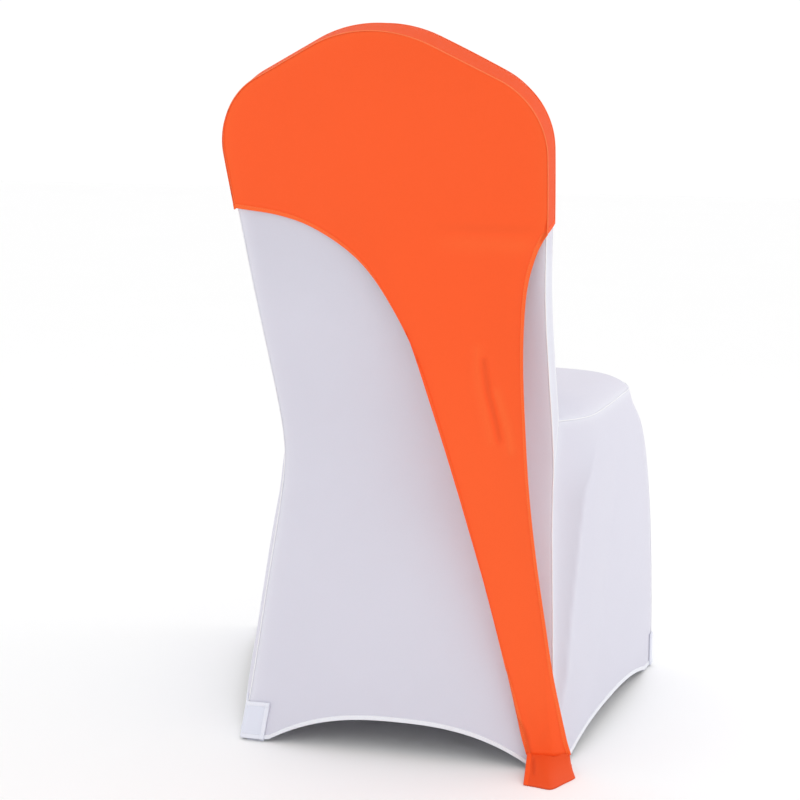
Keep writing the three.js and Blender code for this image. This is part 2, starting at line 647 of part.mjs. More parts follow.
// Mitres of the sewn edges of a panel that ends in a hem, and of a strip with two hemmed ends.
const overHem = { top: squareCorner, left: squareCorner, right: squareCorner };
const ofStrip = { left: squareCorner, right: squareCorner };
const ofCoverStrip = { ...ofStrip, top: flatCorner, bottom: flatCorner };
const ofSeat = { ...ofStrip, top: flatCorner, bottom: squareCorner };
add('cover_rear_panel', 'white', sheet(rearPanel(), -1, overHem));
add('cover_side_strip', 'white', sheet(coverStrip, -1, ofCoverStrip));
add('cover_inside_panel', 'white', sheet(insidePanel(), 1, { ...overHem, bottom: flatCorner }));
add('cover_seat_panel', 'white', sheet(seatPanel(), 1, ofSeat));
add('cover_front_skirt', 'white', sheet(frontPanel(), 1, overHem));
for (const [name, hand] of Object.entries(hands)) {
  const besideStrip = (j) => (j < taperRows ? flatCorner : squareCorner);
  add(`cover_${name}_skirt`, 'white', sheet(sidePanel(name), hand, { ...overHem, left: besideStrip }));
}
for (const [name, frame] of Object.entries(feet)) {
  const underSash = name === 'rear_right';
  add(`foot_patch_${name}`, 'doubled', footPatch(frame));
  add(`foot_sole_${name}`, 'white', footSole(frame, underSash ? sashSole + seamGap : 0));
}
const hoodRows = hoodSides.left.length - 1;
const besideHood = (j) => (j <= hoodRows ? squareCorner : flatCorner);
add('sash_panel', 'orange', sheet(sashPanel(), -1, { ...overHem, left: besideHood, right: besideHood }));
add('sash_hood_strip', 'orange', sheet(hoodStrip, -1, ofStrip));
add('sash_hood_inside', 'orange', sheet(hoodInside(), 1, overHem));
add('sash_foot_pocket', 'orange', sashPocket());

// The origin is where the top of the chair's back holds the cover, under the crown.
const crownMiddle = crownSeam[(crownSeam.length - 1) / 2].clone();
crownMiddle.lerp(crownFront[(crownFront.length - 1) / 2], 0.5);
group.position.set(-crownMiddle.x, -crownMiddle.y, -crownMiddle.z + 2 * cloth);

export default group;
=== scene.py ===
import math

import bpy
import numpy as np
from mathutils import Matrix, Vector


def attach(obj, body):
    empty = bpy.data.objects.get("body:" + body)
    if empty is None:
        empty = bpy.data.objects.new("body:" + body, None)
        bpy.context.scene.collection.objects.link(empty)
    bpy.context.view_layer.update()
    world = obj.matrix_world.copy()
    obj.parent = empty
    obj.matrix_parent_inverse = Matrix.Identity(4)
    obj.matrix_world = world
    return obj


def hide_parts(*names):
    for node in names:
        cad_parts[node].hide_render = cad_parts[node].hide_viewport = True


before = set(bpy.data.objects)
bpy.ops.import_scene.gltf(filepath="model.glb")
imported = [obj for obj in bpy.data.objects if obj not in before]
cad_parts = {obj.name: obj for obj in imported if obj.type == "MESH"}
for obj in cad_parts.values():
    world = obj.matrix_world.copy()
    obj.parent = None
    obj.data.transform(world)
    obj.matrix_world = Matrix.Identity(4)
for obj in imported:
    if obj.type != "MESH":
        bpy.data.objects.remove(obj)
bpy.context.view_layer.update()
print("frame loaded:", len(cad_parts), "solids")

# Every shape is worked out in millimetres, with the floor at z 0, the chair's middle plane at x 0
# and the cloth at the waist of the back at y 0. The front of the chair faces -Y.

cover = {
    "cloth": 1.3,              # thickness of the knit
    "boxingDepth": 36,         # strip between the two faces of the back
    "boxingRise": 10,          # how much higher the padded face's edge is
    "boxingFlare": 2,          # and how much wider on each side
    "waistHeight": 376,
    "hemHeight": 3.6,          # cloth at the feet
    "hemRise": {"back": 41, "side": 21, "front": 38},
    "hemFlat": 0.17,           # share of a hem that stays low beside the feet
    "hemPower": 2.5,
    "backPadding": 7,
    "seatDome": 20,
    "seatRear": 0.65,          # share of the dome that is left at the rear of the seat
}


def mix(a, b, t):
    return a + (b - a) * t


def ease(t):  # from 0 to 1 without a corner at either end
    t = np.clip(t, 0, 1)
    return t * t * (3 - 2 * t)


def hill(distance, width):  # 1 where the distance is 0 and nearly 0 at twice the width
    return np.exp(-((distance / width) ** 2))


def cubic(start, rise, leave, arrive, t):  # a smooth step with given slopes at its two ends
    return start + leave * t + (3 * rise - 2 * leave - arrive) * t**2 + (leave + arrive - 2 * rise) * t**3


def smoothCurve(xs, ys):  # a smooth function through a table of values
    xs, ys = np.array(xs, float), np.array(ys, float)
    slopes = np.empty_like(ys)
    slopes[1:-1] = (ys[2:] - ys[:-2]) / (xs[2:] - xs[:-2])
    slopes[0] = (ys[1] - ys[0]) / (xs[1] - xs[0])
    slopes[-1] = (ys[-1] - ys[-2]) / (xs[-1] - xs[-2])

    def at(x):
        x = np.clip(np.asarray(x, float), xs[0], xs[-1])
        k = np.clip(np.searchsorted(xs, x) - 1, 0, len(xs) - 2)
        step = xs[k + 1] - xs[k]
        return cubic(ys[k], ys[k + 1] - ys[k], slopes[k] * step, slopes[k + 1] * step, (x - xs[k]) / step)

    return at


def lengthOf(line):
    return np.linalg.norm(np.diff(line, axis=0), axis=1).sum()


def alongLine(line, t):  # points at shares of a line's length
    run = np.concatenate([[0], np.cumsum(np.linalg.norm(np.diff(line, axis=0), axis=1))])
    return np.stack([np.interp(t, run / run[-1], line[:, axis]) for axis in range(3)], axis=-1)


def roundCurve(points, count):  # a smooth curve through a few points, evenly spaced
    points = np.array(points, float)
    ends = [2 * points[0] - points[1], *points, 2 * points[-1] - points[-2]]
    t = np.linspace(0, 1, 40, endpoint=False)[:, None]
    pieces = []
    for p0, p1, p2, p3 in zip(ends, ends[1:], ends[2:], ends[3:]):
        before, between, after = p1 - p0, p2 - p1, p3 - p2
        d0, d1, d2 = (math.sqrt(np.linalg.norm(step)) for step in (before, between, after))
        leave = (before / d0 - (p2 - p0) / (d0 + d1) + between / d1) * d1
        arrive = (between / d1 - (p3 - p1) / (d1 + d2) + after / d2) * d1
        pieces.append(cubic(p1, between, leave, arrive, t))
    return alongLine(np.concatenate([*pieces, points[-1:]]), np.linspace(0, 1, count + 1))


def unit(v):
    return v / np.maximum(np.linalg.norm(v, axis=-1, keepdims=True), 1e-9)


# The rear panel by height: depth of its side seams, half its width, its pull towards the tail, its belly.
backTable = {
    "height": [0, 60, 120, 200, 290, 345, 376, 405, 440, 500, 600, 700, 790, 860, 930],
    "depth": [81, 70, 59, 43, 20, 4, 0, 4, 15, 41, 84, 124, 160, 190, 223],
    "half": [213, 204.5, 198, 191.5, 184, 181, 180.5, 180.5, 181, 182, 185, 190.5, 194.5, 194.5, 194.5],
    "lean": [-6, -6, -6.5, -8, -9, -9, -9, -8.2, -7, -4.8, -1.5, -1, 0, 0, 0],
    "belly": [3, 6, 12, 18, 22, 25, 25, 23, 19, 12, 6, 4, 3, 3, 3],
}
backAt = {name: smoothCurve(backTable["height"], column) for name, column in backTable.items()}


def backDepth(x, z):
    share = (x - backAt["lean"](z)) / backAt["half"](z)
    return backAt["depth"](z) + backAt["belly"](z) * (1 - np.minimum(1, share**2))


def onBack(x, z):
    return np.stack([x, backDepth(x, z), z], axis=-1)


def backSeam(hand, z):  # a side seam of the rear panel at these heights
    return onBack(hand * backAt["half"](z) + backAt["lean"](z), z)


crown = {
    "shoulderRadius": 92, "shoulderHeight": 779,
    "slope": 26.5, "topRadius": 158,
    "split": 34,   # angle on the shoulder at which the crown's seam ends
    "skewRise": 2.5, "skewMiddle": -90, "skewReach": 80,   # the padded face is higher on the right slope
}


def arc(middleX, middleZ, radius, turn):
    return np.stack([middleX + radius * np.cos(turn), middleZ + radius * np.sin(turn)], -1)


def shoulderArc(first, last, count, out):
    middleX = backAt["half"](crown["shoulderHeight"]) - crown["shoulderRadius"]
    turn = np.radians(np.linspace(first, last, count))
    return arc(middleX, crown["shoulderHeight"], crown["shoulderRadius"] + out, turn)


def crownHalf(hand, out):  # x and z from a shoulder to the top
    slope, topRadius = math.radians(crown["slope"]), crown["topRadius"] + out
    shoulder = shoulderArc(crown["split"], 90 - crown["slope"], 30, out)
    endX, endZ = shoulder[-1]
    topX = topRadius * math.sin(slope)
    topZ = endZ + (endX - topX) * math.tan(slope)
    straight = np.linspace(shoulder[-1], [topX, topZ], 20)[1:]
    turn = np.linspace(math.pi / 2 - slope, math.pi / 2, 30)[1:]
    top = arc(0, topZ - topRadius * math.cos(slope), topRadius, turn)
    return np.concatenate([shoulder, straight, top]) * [hand, 1]


def crownEdge(out=0):
    left, right = crownHalf(1, out), crownHalf(-1, out)
    return np.concatenate([left, right[::-1][1:]])


def sideEdge(hand, lowest, out=0):  # x and z from the shoulder down one side
    shoulder = shoulderArc(crown["split"], 0, 14, out) * [hand, 1]
    z = np.linspace(crown["shoulderHeight"], lowest, 110)[1:]
    side = np.stack([hand * (backAt["half"](z) + out) + backAt["lean"](z), z], -1)
    return np.concatenate([shoulder, side])


def riseAt(x):  # how much higher the padded face's edge is
    skew = np.maximum(0, 1 - ((x - crown["skewMiddle"]) / crown["skewReach"]) ** 2)
    return cover["boxingRise"] + crown["skewRise"] * skew


def toFront(line, towards):  # from the rear panel's edge to the padded face's edge
    x = line[:, 0] + towards * cover["boxingFlare"]
    return np.stack([x, line[:, 1] - cover["boxingDepth"], line[:, 2] + riseAt(line[:, 0])], -1)


def hemLine(start, end, rise):  # an arched hem from one foot to the next
    t = np.linspace(0, 1, 161)[:, None]
    fromMiddle = np.minimum(1, np.abs(2 * t - 1) / (1 - cover["hemFlat"]))
    return mix(start, end, t) + rise * (1 - fromMiddle ** cover["hemPower"]) * [0, 0, 1]


crownRear = onBack(*crownEdge().T)
crownFront = toFront(crownRear, np.linspace(1, -1, len(crownRear)))
origin = np.array([0, 200.94, 917.137])   # inside the crown, where the chair's top holds the cover

strip = {
    "seatHeight": 424,                     # where its rear seam passes the seat
    "waistWidth": 6,
    "tipHeight": 351, "tipWidth": 0.6,     # where it has run out
    "swell": 0.5, "narrow": 30,            # between its seams, less where it is narrower than this
    "openSwell": 0.8, "openFrom": 675, "openOver": 30,   # it swells a little below the hood, and the swell is painted lighter: a painted highlight
}

# The seat's seam on each side, from the back to the front corner.
seatTable = {
    "left": [187, 193, 206, 222, 231, 230],
    "right": [211, 225, 236, 245, 249, 240],
    "y": [-62, -98, -170, -260, -330, -374],
    "z": [432, 431, 431, 431, 430, 430],
}
seatFront = {"y": -398, "z": 434, "roundX": 170, "roundY": -392, "roundZ": 432}

# The front corners of the skirt, by height.
cornerTable = {
    "height": [4, 110, 210, 280, 335, 375, 405, 430],
    "left": [337, 318, 298, 281, 266, 254, 238, 230],
    "leftY": [-380, -377, -375, -374, -375, -376, -376, -374],
    "right": [293, 290, 285, 279, 272, 263, 249, 240],
    "rightY": [-365, -367, -370, -372, -374, -376, -376, -374],
}
hands = {"left": 1, "right": -1}
sideRear, sideFront, stripRear, stripFront, rearEdge, skirtRear, seatSide, cornerLine = ({} for _ in range(8))
for name, hand in hands.items():
    edge = sideEdge(hand, cover["waistHeight"])
    upper = onBack(*edge[edge[:, 1] > strip["seatHeight"]].T)
    sideRear[name] = np.concatenate([upper, backSeam(hand, np.array([strip["seatHeight"]]))])
    sideFront[name] = toFront(sideRear[name], hand)
    seatCorner = sideFront[name][-1]
    toWaist = backSeam(hand, np.linspace(strip["seatHeight"], cover["waistHeight"], 16)[1:])
    toTip = backSeam(hand, np.linspace(cover["waistHeight"], strip["tipHeight"], 9)[1:])
    leg = backSeam(hand, np.linspace(cover["waistHeight"], cover["hemHeight"], 120))
    leg = leg[leg[:, 2] < strip["tipHeight"] - 1]
    waist = toWaist[-1] - [0, strip["waistWidth"], 0]
    tip = toTip[-1] - [0, strip["tipWidth"], 0]
    taper = np.concatenate([np.linspace(seatCorner, waist, 16)[1:], np.linspace(waist, tip, 9)[1:]])
    stripRear[name] = np.concatenate([sideRear[name], toWaist, toTip])
    stripFront[name] = np.concatenate([sideFront[name], taper])
    rearEdge[name] = np.concatenate([stripRear[name], leg])
    skirtRear[name] = np.concatenate([[seatCorner], taper, leg])
    seatPoints = np.stack([hand * np.array(seatTable[name]), seatTable["y"], seatTable["z"]], -1)
    seatSide[name] = roundCurve([seatCorner, *seatPoints], 160)
    heights = np.linspace(cornerTable["height"][-1], cover["hemHeight"], 150)
    cornerX = hand * smoothCurve(cornerTable["height"], cornerTable[name])(heights)
    cornerY = smoothCurve(cornerTable["height"], cornerTable[name + "Y"])(heights)
    cornerLine[name] = np.stack([cornerX, cornerY, heights], -1)

roundX, roundY, roundZ = (seatFront["round" + axis] for axis in "XYZ")
frontPoints = [(roundX, roundY, roundZ), (0, seatFront["y"], seatFront["z"]), (-roundX, roundY, roundZ)]
frontSeam = roundCurve([seatSide["left"][-1], *frontPoints, seatSide["right"][-1]], 200)
acrossSeat = np.linspace(0, 1, 161)[:, None]
seatSwell = 1 - (2 * acrossSeat - 1) ** 2
seatLine = (mix(seatSide["left"][0], seatSide["right"][0], acrossSeat)
            + seatSwell * [0, -cover["backPadding"], cover["seatDome"] * cover["seatRear"]])
print("seams laid out, origin", origin.round(3).tolist())

# Distances from an edge at which a sheet's grid has a line.
edgeSteps = {
    "hem": [0, 0.5, 1.2, 2.4, 3.8, 4.8, 5.4, 6.0, 6.6, 7.4, 9.0, 12.0],
    "seam": [0, 0.7, 1.5, 2.6, 4.2, 7.0],       # where two sheets meet at an angle
    "flatSeam": [0, 0.7, 1.5, 2.6, 4.2, 7.0],   # where they run on into each other
    "open": [0],
}


def spread(count, length, start, end):  # shares from 0 to 1, closer together at hems and seams
    length = np.asarray(length, float).reshape(-1, 1)
    first, final = np.array(edgeSteps[start]), np.array(edgeSteps[end])
    between = np.linspace(0, 1, count + 1)[1:-1]
    inside = first[-1] / length + between * (1 - (first[-1] + final[-1]) / length)
    return np.concatenate([first / length, inside, 1 - final[::-1] / length], axis=1)


def patchOf(top, bottom, left, right, kinds, counts):  # a smooth sheet between four edges
    topLength, bottomLength, leftLength, rightLength = map(lengthOf, (top, bottom, left, right))
    rows = spread(counts[1], [mix(leftLength, rightLength, 0.5)], kinds["top"], kinds["bottom"])[0]
    u = spread(counts[0], mix(topLength, bottomLength, rows), kinds["left"], kinds["right"])
    heights = mix(leftLength, rightLength, u[len(u) // 2])
    v = spread(counts[1], heights, kinds["top"], kinds["bottom"]).T
    upper, lower = alongLine(top, u), alongLine(bottom, u)
    one, other = alongLine(left, v), alongLine(right, v)
    across, down = u[..., None], v[..., None]
    corners = ((1 - across) * (1 - down) * top[0] + across * (1 - down) * top[-1]
               + (1 - across) * down * bottom[0] + across * down * bottom[-1])
    return mix(upper, lower, down) + mix(one, other, across) - corners, u, v


def facing(grid, side):  # unit normals of a grid of points
    return unit(np.cross(np.gradient(grid, axis=1), np.gradient(grid, axis=0))) * side


def runs(grid, axis):  # distance of each point from both ends of its grid line
    step = np.linalg.norm(np.diff(grid, axis=axis), axis=2)
    pad = [(0, 0), (0, 0)]
    pad[axis] = (1, 0)
    run = np.pad(np.cumsum(step, axis=axis), pad)
    return run, run.max(axis=axis, keepdims=True) - run


def nearness(grid, line, within):  # how close each point is to a line, 1 on it and 0 far off
    flat = grid.reshape(-1, 3)
    best = np.full(len(flat), np.inf)
    for a, b in zip(line[:-1], line[1:]):
        t = np.clip(((flat - a) @ (b - a)) / ((b - a) @ (b - a)), 0, 1)
        best = np.minimum(best, np.linalg.norm(flat - a - t[:, None] * (b - a), axis=1))
    return hill(best, within).reshape(grid.shape[:2])


def toMetres(points):
    return ((points - origin) / 1000).tolist()


def placed(name, data):  # a new object in the scene
    thing = bpy.data.objects.new(name, data)
    bpy.context.scene.collection.objects.link(thing)
    return thing


def smoothObject(name, points, faces):
    mesh = bpy.data.meshes.new(name)
    mesh.from_pydata(toMetres(points), [], faces.tolist())
    mesh.polygons.foreach_set("use_smooth", [True] * len(mesh.polygons))
    mesh.update()
    return placed(name, mesh)


def closedFaces(rows, columns, side):  # outer face, inner face and the rim that joins them
    index = np.arange(rows * columns).reshape(rows, columns)
    a, b, c, d = index[:-1, :-1], index[:-1, 1:], index[1:, 1:], index[1:, :-1]
    front = np.stack([a, b, c, d], -1).reshape(-1, 4)
    back = np.stack([a, d, c, b], -1).reshape(-1, 4) + index.size
    around = np.concatenate([index[0], index[1:, -1], index[-1, -2::-1], index[-2:0:-1, 0]])
    ring = 2 * index.size + np.arange(len(around))
    nextAround, nextRing = np.roll(around, -1), np.roll(ring, -1)
    edgeOut = np.stack([nextAround, around, ring, nextRing], -1)
    edgeIn = np.stack([nextRing, ring, around + index.size, nextAround + index.size], -1)
    faces = np.concatenate([front, back, edgeOut, edgeIn])
    return faces[:, ::side], around


hem = {
    "width": 5.6, "rise": 0.75, "soft": 0.8, "extra": 0.5,   # the doubled band
    "groove": 0.35, "grooveWidth": 0.7, "inset": 0.45,       # it sinks in along its stitches
}
seam = {"gap": 0.5, "roll": 0.8, "rollWidth": 1.3, "pucker": 7, "inset": 0.3, "mitre": 1.3}
edgeFade = {"reach": 9, "narrow": 8}   # an edge's points move inward within this reach
foldShade = 2.5                        # rise of a fold at which the painted shade of a hollow, and the painted highlight of a rise, are full
floorRoom = 0.05                       # nothing goes below this height


def makeSheet(name, grid, side, kinds, cloth, lift=None):
    # A closed sheet of cloth: outer face, rounded edge and inner face. Hems are doubled and stitched
    # down, and an edge that is sewn to another sheet rolls in to the seam.
    normals = facing(grid, side)
    (fromLeft, fromRight), (fromTop, fromBottom) = runs(grid, 1), runs(grid, 0)
    away = {"top": fromTop, "bottom": fromBottom, "left": fromLeft, "right": fromRight}
    opposite = {"top": fromBottom, "bottom": fromTop, "left": fromRight, "right": fromLeft}
    rise = np.zeros(grid.shape[:2]) if lift is None else lift.copy()
    hemmed, sewn = np.zeros(grid.shape[:2]), np.zeros(grid.shape[:2])
    # the lift also paints the colour: painted shade where it sinks the cloth, painted highlight where it
    # raises it
    foldLightAndShade = np.clip(rise / foldShade, -1, 1)
    outer, inner, rim = grid.copy(), grid.copy(), grid.copy()
    for edge, kind in kinds.items():
        d = away[edge]
        axis = 0 if edge in ("top", "bottom") else 1
        inward = unit(np.gradient(grid, axis=axis)) * (1 if edge in ("top", "left") else -1)
        narrow = np.minimum(1, (d + opposite[edge]) / edgeFade["narrow"])
        near = narrow * np.clip(1 - d / edgeFade["reach"], 0, 1)
        for part, share in ([(kind, 1.0)] if isinstance(kind, str) else kind):
            if part == "open":
                continue
            if part == "hem":
                doubled = (1 - ease((d - hem["width"]) / hem["soft"])) * share
                hemmed = np.maximum(hemmed, doubled)
                groove = hill(d - hem["width"] - hem["grooveWidth"], hem["grooveWidth"]) * share
                rise += hem["rise"] * doubled - hem["groove"] * groove
                insets = (hem["inset"] * cloth, hem["inset"] * cloth, 0)
            else:
                rise -= seam["roll"] * hill(d, seam["rollWidth"]) * share
                sewn = np.maximum(sewn, np.exp(-d / seam["pucker"]) * share)
                gap = seam["gap"] / 2
                innerInset = seam["mitre"] if part == "seam" else seam["inset"]
                insets = (gap + seam["inset"] * cloth, gap + innerInset * cloth, gap)
            for layer, inset in zip((outer, inner, rim), insets):
                layer += inward * (near * inset * share)[..., None]
    thick = cloth * (1 + hem["extra"] * hemmed)
    outer += normals * rise[..., None]
    inner -= normals * thick[..., None]
    rim += normals * (0.5 * (rise - thick))[..., None]
    for layer in (outer, inner, rim):
        layer[..., 2] = np.maximum(layer[..., 2], floorRoom)
    faces, around = closedFaces(*grid.shape[:2], side)
    points = np.concatenate([outer.reshape(-1, 3), inner.reshape(-1, 3), rim.reshape(-1, 3)[around]])
    piece = smoothObject(name, points, faces)
    grain = np.stack([fromLeft, fromTop], -1).reshape(-1, 2) / 1000
    grain = np.concatenate([grain, grain, grain[around]])[faces.ravel()]
    piece.data.uv_layers.new(name="clothGrain").data.foreach_set("uv", grain.astype(np.float32).ravel())
    for label, values in (("hemmed", hemmed), ("sewn", sewn), ("foldLightAndShade", foldLightAndShade)):
        values = values.ravel()
        values = np.concatenate([values, values, values[around]]).astype(np.float32)
        piece.data.attributes.new(label, "FLOAT", "POINT").data.foreach_set("value", values)
    return piece, outer


class Wire:  # a shader socket that can be used in expressions
    def __init__(self, tree, socket=None):
        self.tree, self.socket = tree, socket

    def node(self, kind, settings=None, sockets=None, output=0):
        node = self.tree.nodes.new(kind)
        for key, value in (settings or {}).items():
            setattr(node, key, value)
        for key, value in (sockets or {}).items():
            if isinstance(value, Wire):
                self.tree.links.new(value.socket, node.inputs[key])
            else:
                node.inputs[key].default_value = value
        return Wire(self.tree, node.outputs[output])

    def maths(self, operation, first, second=None):
        sockets = {0: first} if second is None else {0: first, 1: second}
        return self.node("ShaderNodeMath", {"operation": operation}, sockets)

    def noise(self, place, scale, detail=2.0):
        return self.node("ShaderNodeTexNoise", None, {"Vector": place, "Scale": scale, "Detail": detail})

    def blend(self, share, first, second):
        return self.node("ShaderNodeMix", {"data_type": "RGBA"}, {"Factor": share, 6: first, 7: second}, 2)

    def relief(self, height, distance, strength):
        sockets = {"Height": height, "Distance": distance, "Strength": strength}
        return self.node("ShaderNodeBump", None, sockets)

    def place(self):
        return self.node("ShaderNodeTexCoord", None, None, "Object")

    def painted(self, label):  # a value that the sheet's points carry
        return self.node("ShaderNodeAttribute", {"attribute_name": label}, None, "Fac")

    def __add__(self, other):
        return self.maths("ADD", self, other)

    def __sub__(self, other):
        return self.maths("SUBTRACT", self, other)

    def __rsub__(self, other):
        return self.maths("SUBTRACT", other, self)

    def __mul__(self, other):
        return self.maths("MULTIPLY", self, other)


def newMaterial(name):
    material = bpy.data.materials.new(name)
    material.use_nodes = True
    material.node_tree.nodes.clear()
    return material, Wire(material.node_tree)


def finishMaterial(wire, sockets):
    shader = wire.node("ShaderNodeBsdfPrincipled", None, sockets)
    output = wire.tree.nodes.new("ShaderNodeOutputMaterial")
    wire.tree.links.new(shader.socket, output.inputs["Surface"])


def darker(color, share):
    return [channel * share for channel in color[:3]] + [1]


knit = {
    "wale": 0.62, "course": 0.5, "slant": 1.1,   # width and height of a loop in millimetres, and its lean
    "relief": 0.12, "fibreRelief": 0.05, "puckerRelief": 1.1, "cloudRelief": 0.2,
    "cloudScale": 9.0, "fibreScale": 420.0, "puckerScale": 95.0,
    "shade": 0.9, "cloudShade": 0.35, "loopShade": 0.22, "fibreShade": 0.2, "lightest": 0.1,
    "deepShade": 0.45, "hollowShade": 0.3,       # painted shade in the folds' hollows
    "sewnLight": 0.5, "foldLight": 0.7,          # at the seams, and painted highlight on the folds' crests
    "fibreRough": 0.12, "specular": 0.28, "sheenRough": 0.45,
}


def knitMaterial(name, color, doubled, roughness, sheen, tint):
    material, wire = newMaterial(name)
    grain = wire.node("ShaderNodeUVMap", {"uv_map": "clothGrain"})
    axes = wire.node("ShaderNodeSeparateXYZ", None, {0: grain})
    across = axes * (1000 / knit["wale"])
    down = Wire(wire.tree, axes.socket.node.outputs["Y"]) * (1000 / knit["course"])
    place = wire.place()
    column = wire.maths("FRACT", across) - 0.5
    lean = wire.maths("ABSOLUTE", column)
    loops = wire.maths("SINE", (down + lean * knit["slant"]) * (2 * math.pi)) * 0.5 + 0.5
    ribs = 1 - lean * lean * 4
    stitch = ribs * (loops * 0.5 + 0.5)
    cloudy = wire.noise(place, knit["cloudScale"], 3.0)
    fibres = wire.noise(place, knit["fibreScale"])
    pucker = wire.noise(place, knit["puckerScale"], 1.0)
    sewn, foldLightAndShade = wire.painted("sewn"), wire.painted("foldLightAndShade")
    # painted highlight where a fold rises and painted shade where it sinks
    litCrest = wire.maths("MAXIMUM", foldLightAndShade, 0.0) * knit["foldLight"]
    hollow = wire.maths("MAXIMUM", foldLightAndShade * -knit["hollowShade"], 0.0)
    # lighter where doubled at hems and seams, plus the painted highlight on rises
    doubledAndLit = wire.maths("MINIMUM", wire.painted("hemmed") + sewn * knit["sewnLight"] + litCrest, 1.0)
    tone = cloudy * knit["cloudShade"] + (1 - stitch) * knit["loopShade"] + fibres * knit["fibreShade"]
    base = wire.blend(doubledAndLit, color, doubled)
    toneAndFoldShade = wire.blend(tone - knit["lightest"], base, darker(color, knit["shade"]))
    # painted shade in the folds' hollows
    toneAndFoldShade = wire.blend(hollow, toneAndFoldShade, darker(color, knit["deepShade"]))
    height = (stitch * knit["relief"] + fibres * knit["fibreRelief"] + pucker * sewn * knit["puckerRelief"]
              + cloudy * knit["cloudRelief"])
    finishMaterial(wire, {
        "Base Color": toneAndFoldShade, "Roughness": fibres * knit["fibreRough"] + (roughness - knit["fibreRough"] / 2),
        "Normal": wire.relief(height, 0.001, 0.5), "Specular IOR Level": knit["specular"],
        "Sheen Weight": sheen, "Sheen Roughness": knit["sheenRough"], "Sheen Tint": tint})
    return material


whiteSheen, orangeSheen = (1, 1, 1, 1), (1, 0.4, 0.2, 1)
finishes = {   # colour of the cloth, colour where it is doubled, roughness, sheen and the sheen's colour
    "whiteKnit": ((0.70, 0.69, 0.78, 1), (0.92, 0.94, 0.98, 1), 0.62, 0.12, whiteSheen),
    "doubledWhiteKnit": ((0.77, 0.79, 0.89, 1), (0.84, 0.85, 0.93, 1), 0.6, 0.12, whiteSheen),
    "orangeKnit": ((1.0, 0.105, 0.013, 1), (1.0, 0.15, 0.026, 1), 0.55, 0.05, orangeSheen),
    # the hood's strip and the pocket are darker copies of the orange cloth: painted shade
    "shadedStripKnit": ((0.86, 0.085, 0.008, 1), (1.0, 0.105, 0.013, 1), 0.7, 0.0, orangeSheen),
    "shadedPocketKnit": ((0.84, 0.082, 0.01, 1), (1.0, 0.105, 0.013, 1), 0.55, 0.05, orangeSheen),
}
slots = {"whiteKnit": "white_cloth", "doubledWhiteKnit": "doubled_white_cloth", "orangeKnit": "orange_cloth",
         "shadedStripKnit": "orange_cloth", "shadedPocketKnit": "orange_cloth"}
knits = {name: knitMaterial(name, *finish) for name, finish in finishes.items()}

thread = {"twistScale": 520.0, "plyScale": 160.0, "shade": 0.82, "rough": 0.4, "specular": 0.35}


def threadMaterial(name, color):
    material, wire = newMaterial(name)
    place = wire.place()
    twist = wire.node("ShaderNodeTexWave", {"bands_direction": "DIAGONAL"},
                      {"Vector": place, "Scale": thread["twistScale"], "Distortion": 0.6})
    plied = wire.noise(place, thread["plyScale"])
    finishMaterial(wire, {
        "Base Color": wire.blend(twist * plied, color, darker(color, thread["shade"])),
        "Roughness": plied * 0.2 + thread["rough"], "Normal": wire.relief(twist, 0.0002, 0.4),
        "Specular IOR Level": thread["specular"]})
    return material


whiteThread = threadMaterial("whiteThread", (0.97, 0.97, 0.99, 1))
orangeThread = threadMaterial("orangeThread", (1.0, 0.2, 0.06, 1))
print("materials made")

made = {}
counts = {   # faces across and down each sheet
    "rear": (70, 150), "inside": (60, 90), "seat": (70, 60), "front": (80, 70), "side": (60, 70),
    "sash": (80, 180), "hood": (60, 70), "patch": (34, 14), "strip": (5, 330), "hoodStrip": (5, 230),
}


def edgeKinds(top, bottom, left, right):
    return {"top": top, "bottom": bottom, "left": left, "right": right}


hemBelow = edgeKinds("seam", "hem", "seam", "seam")
flatBelow = edgeKinds("seam", "flatSeam", "seam", "seam")
flatAbove = edgeKinds("flatSeam", "seam", "seam", "seam")
openEnds = edgeKinds("open", "open", "seam", "seam")
hemmedEnds = edgeKinds("hem", "hem", "seam", "seam")
hemAround = edgeKinds("hem", "hem", "hem", "hem")
openAround = edgeKinds("open", "open", "open", "open")


def addPanel(name, node, grid, side, kinds, knitName, lift=None, cloth=cover["cloth"]):
    piece, outer = makeSheet(name, grid, side, kinds, cloth, lift)
    piece.data.materials.append(knits[knitName])
    made[name] = {"piece": piece, "node": node, "slot": slots[knitName], "grid": grid, "outer": outer}


hemRear = hemLine(rearEdge["left"][-1], rearEdge["right"][-1], cover["hemRise"]["back"])
rearGrid, u, v = patchOf(crownRear, hemRear, rearEdge["left"], rearEdge["right"], hemBelow, counts["rear"])
rearGrid[..., 1] = backDepth(rearGrid[..., 0], rearGrid[..., 2])
underHood = {"press": 0.9, "from": 540, "over": 140, "edge": 0.06}   # the hood presses the panel in, and the pressed cloth is painted darker: a painted shadow under the hood
pressedAndShaded = ease((rearGrid[..., 2] - underHood["from"]) / underHood["over"])
pressedAndShaded = pressedAndShaded * ease(np.minimum(u, 1 - u) / underHood["edge"])
addPanel("rearPanel", "cover_rear_panel", rearGrid, -1, hemBelow, "whiteKnit", -underHood["press"] * pressedAndShaded)


def bandBetween(rear, front, kinds, counts):  # the strip that joins two faces
    v = spread(counts[1], [lengthOf(mix(rear, front, 0.5))], kinds["top"], kinds["bottom"])[0]
    u = spread(counts[0], [cover["boxingDepth"]], "seam", "seam")
    backLine, frontLine = alongLine(rear, v), alongLine(front, v)
    widths = np.linalg.norm(frontLine - backLine, axis=1)
    grid = mix(backLine[:, None], frontLine[:, None], u[..., None])
    rise = strip["swell"] * 4 * u * (1 - u) * np.minimum(1, widths / strip["narrow"])[:, None]
    return grid + facing(grid, -1) * rise[..., None]


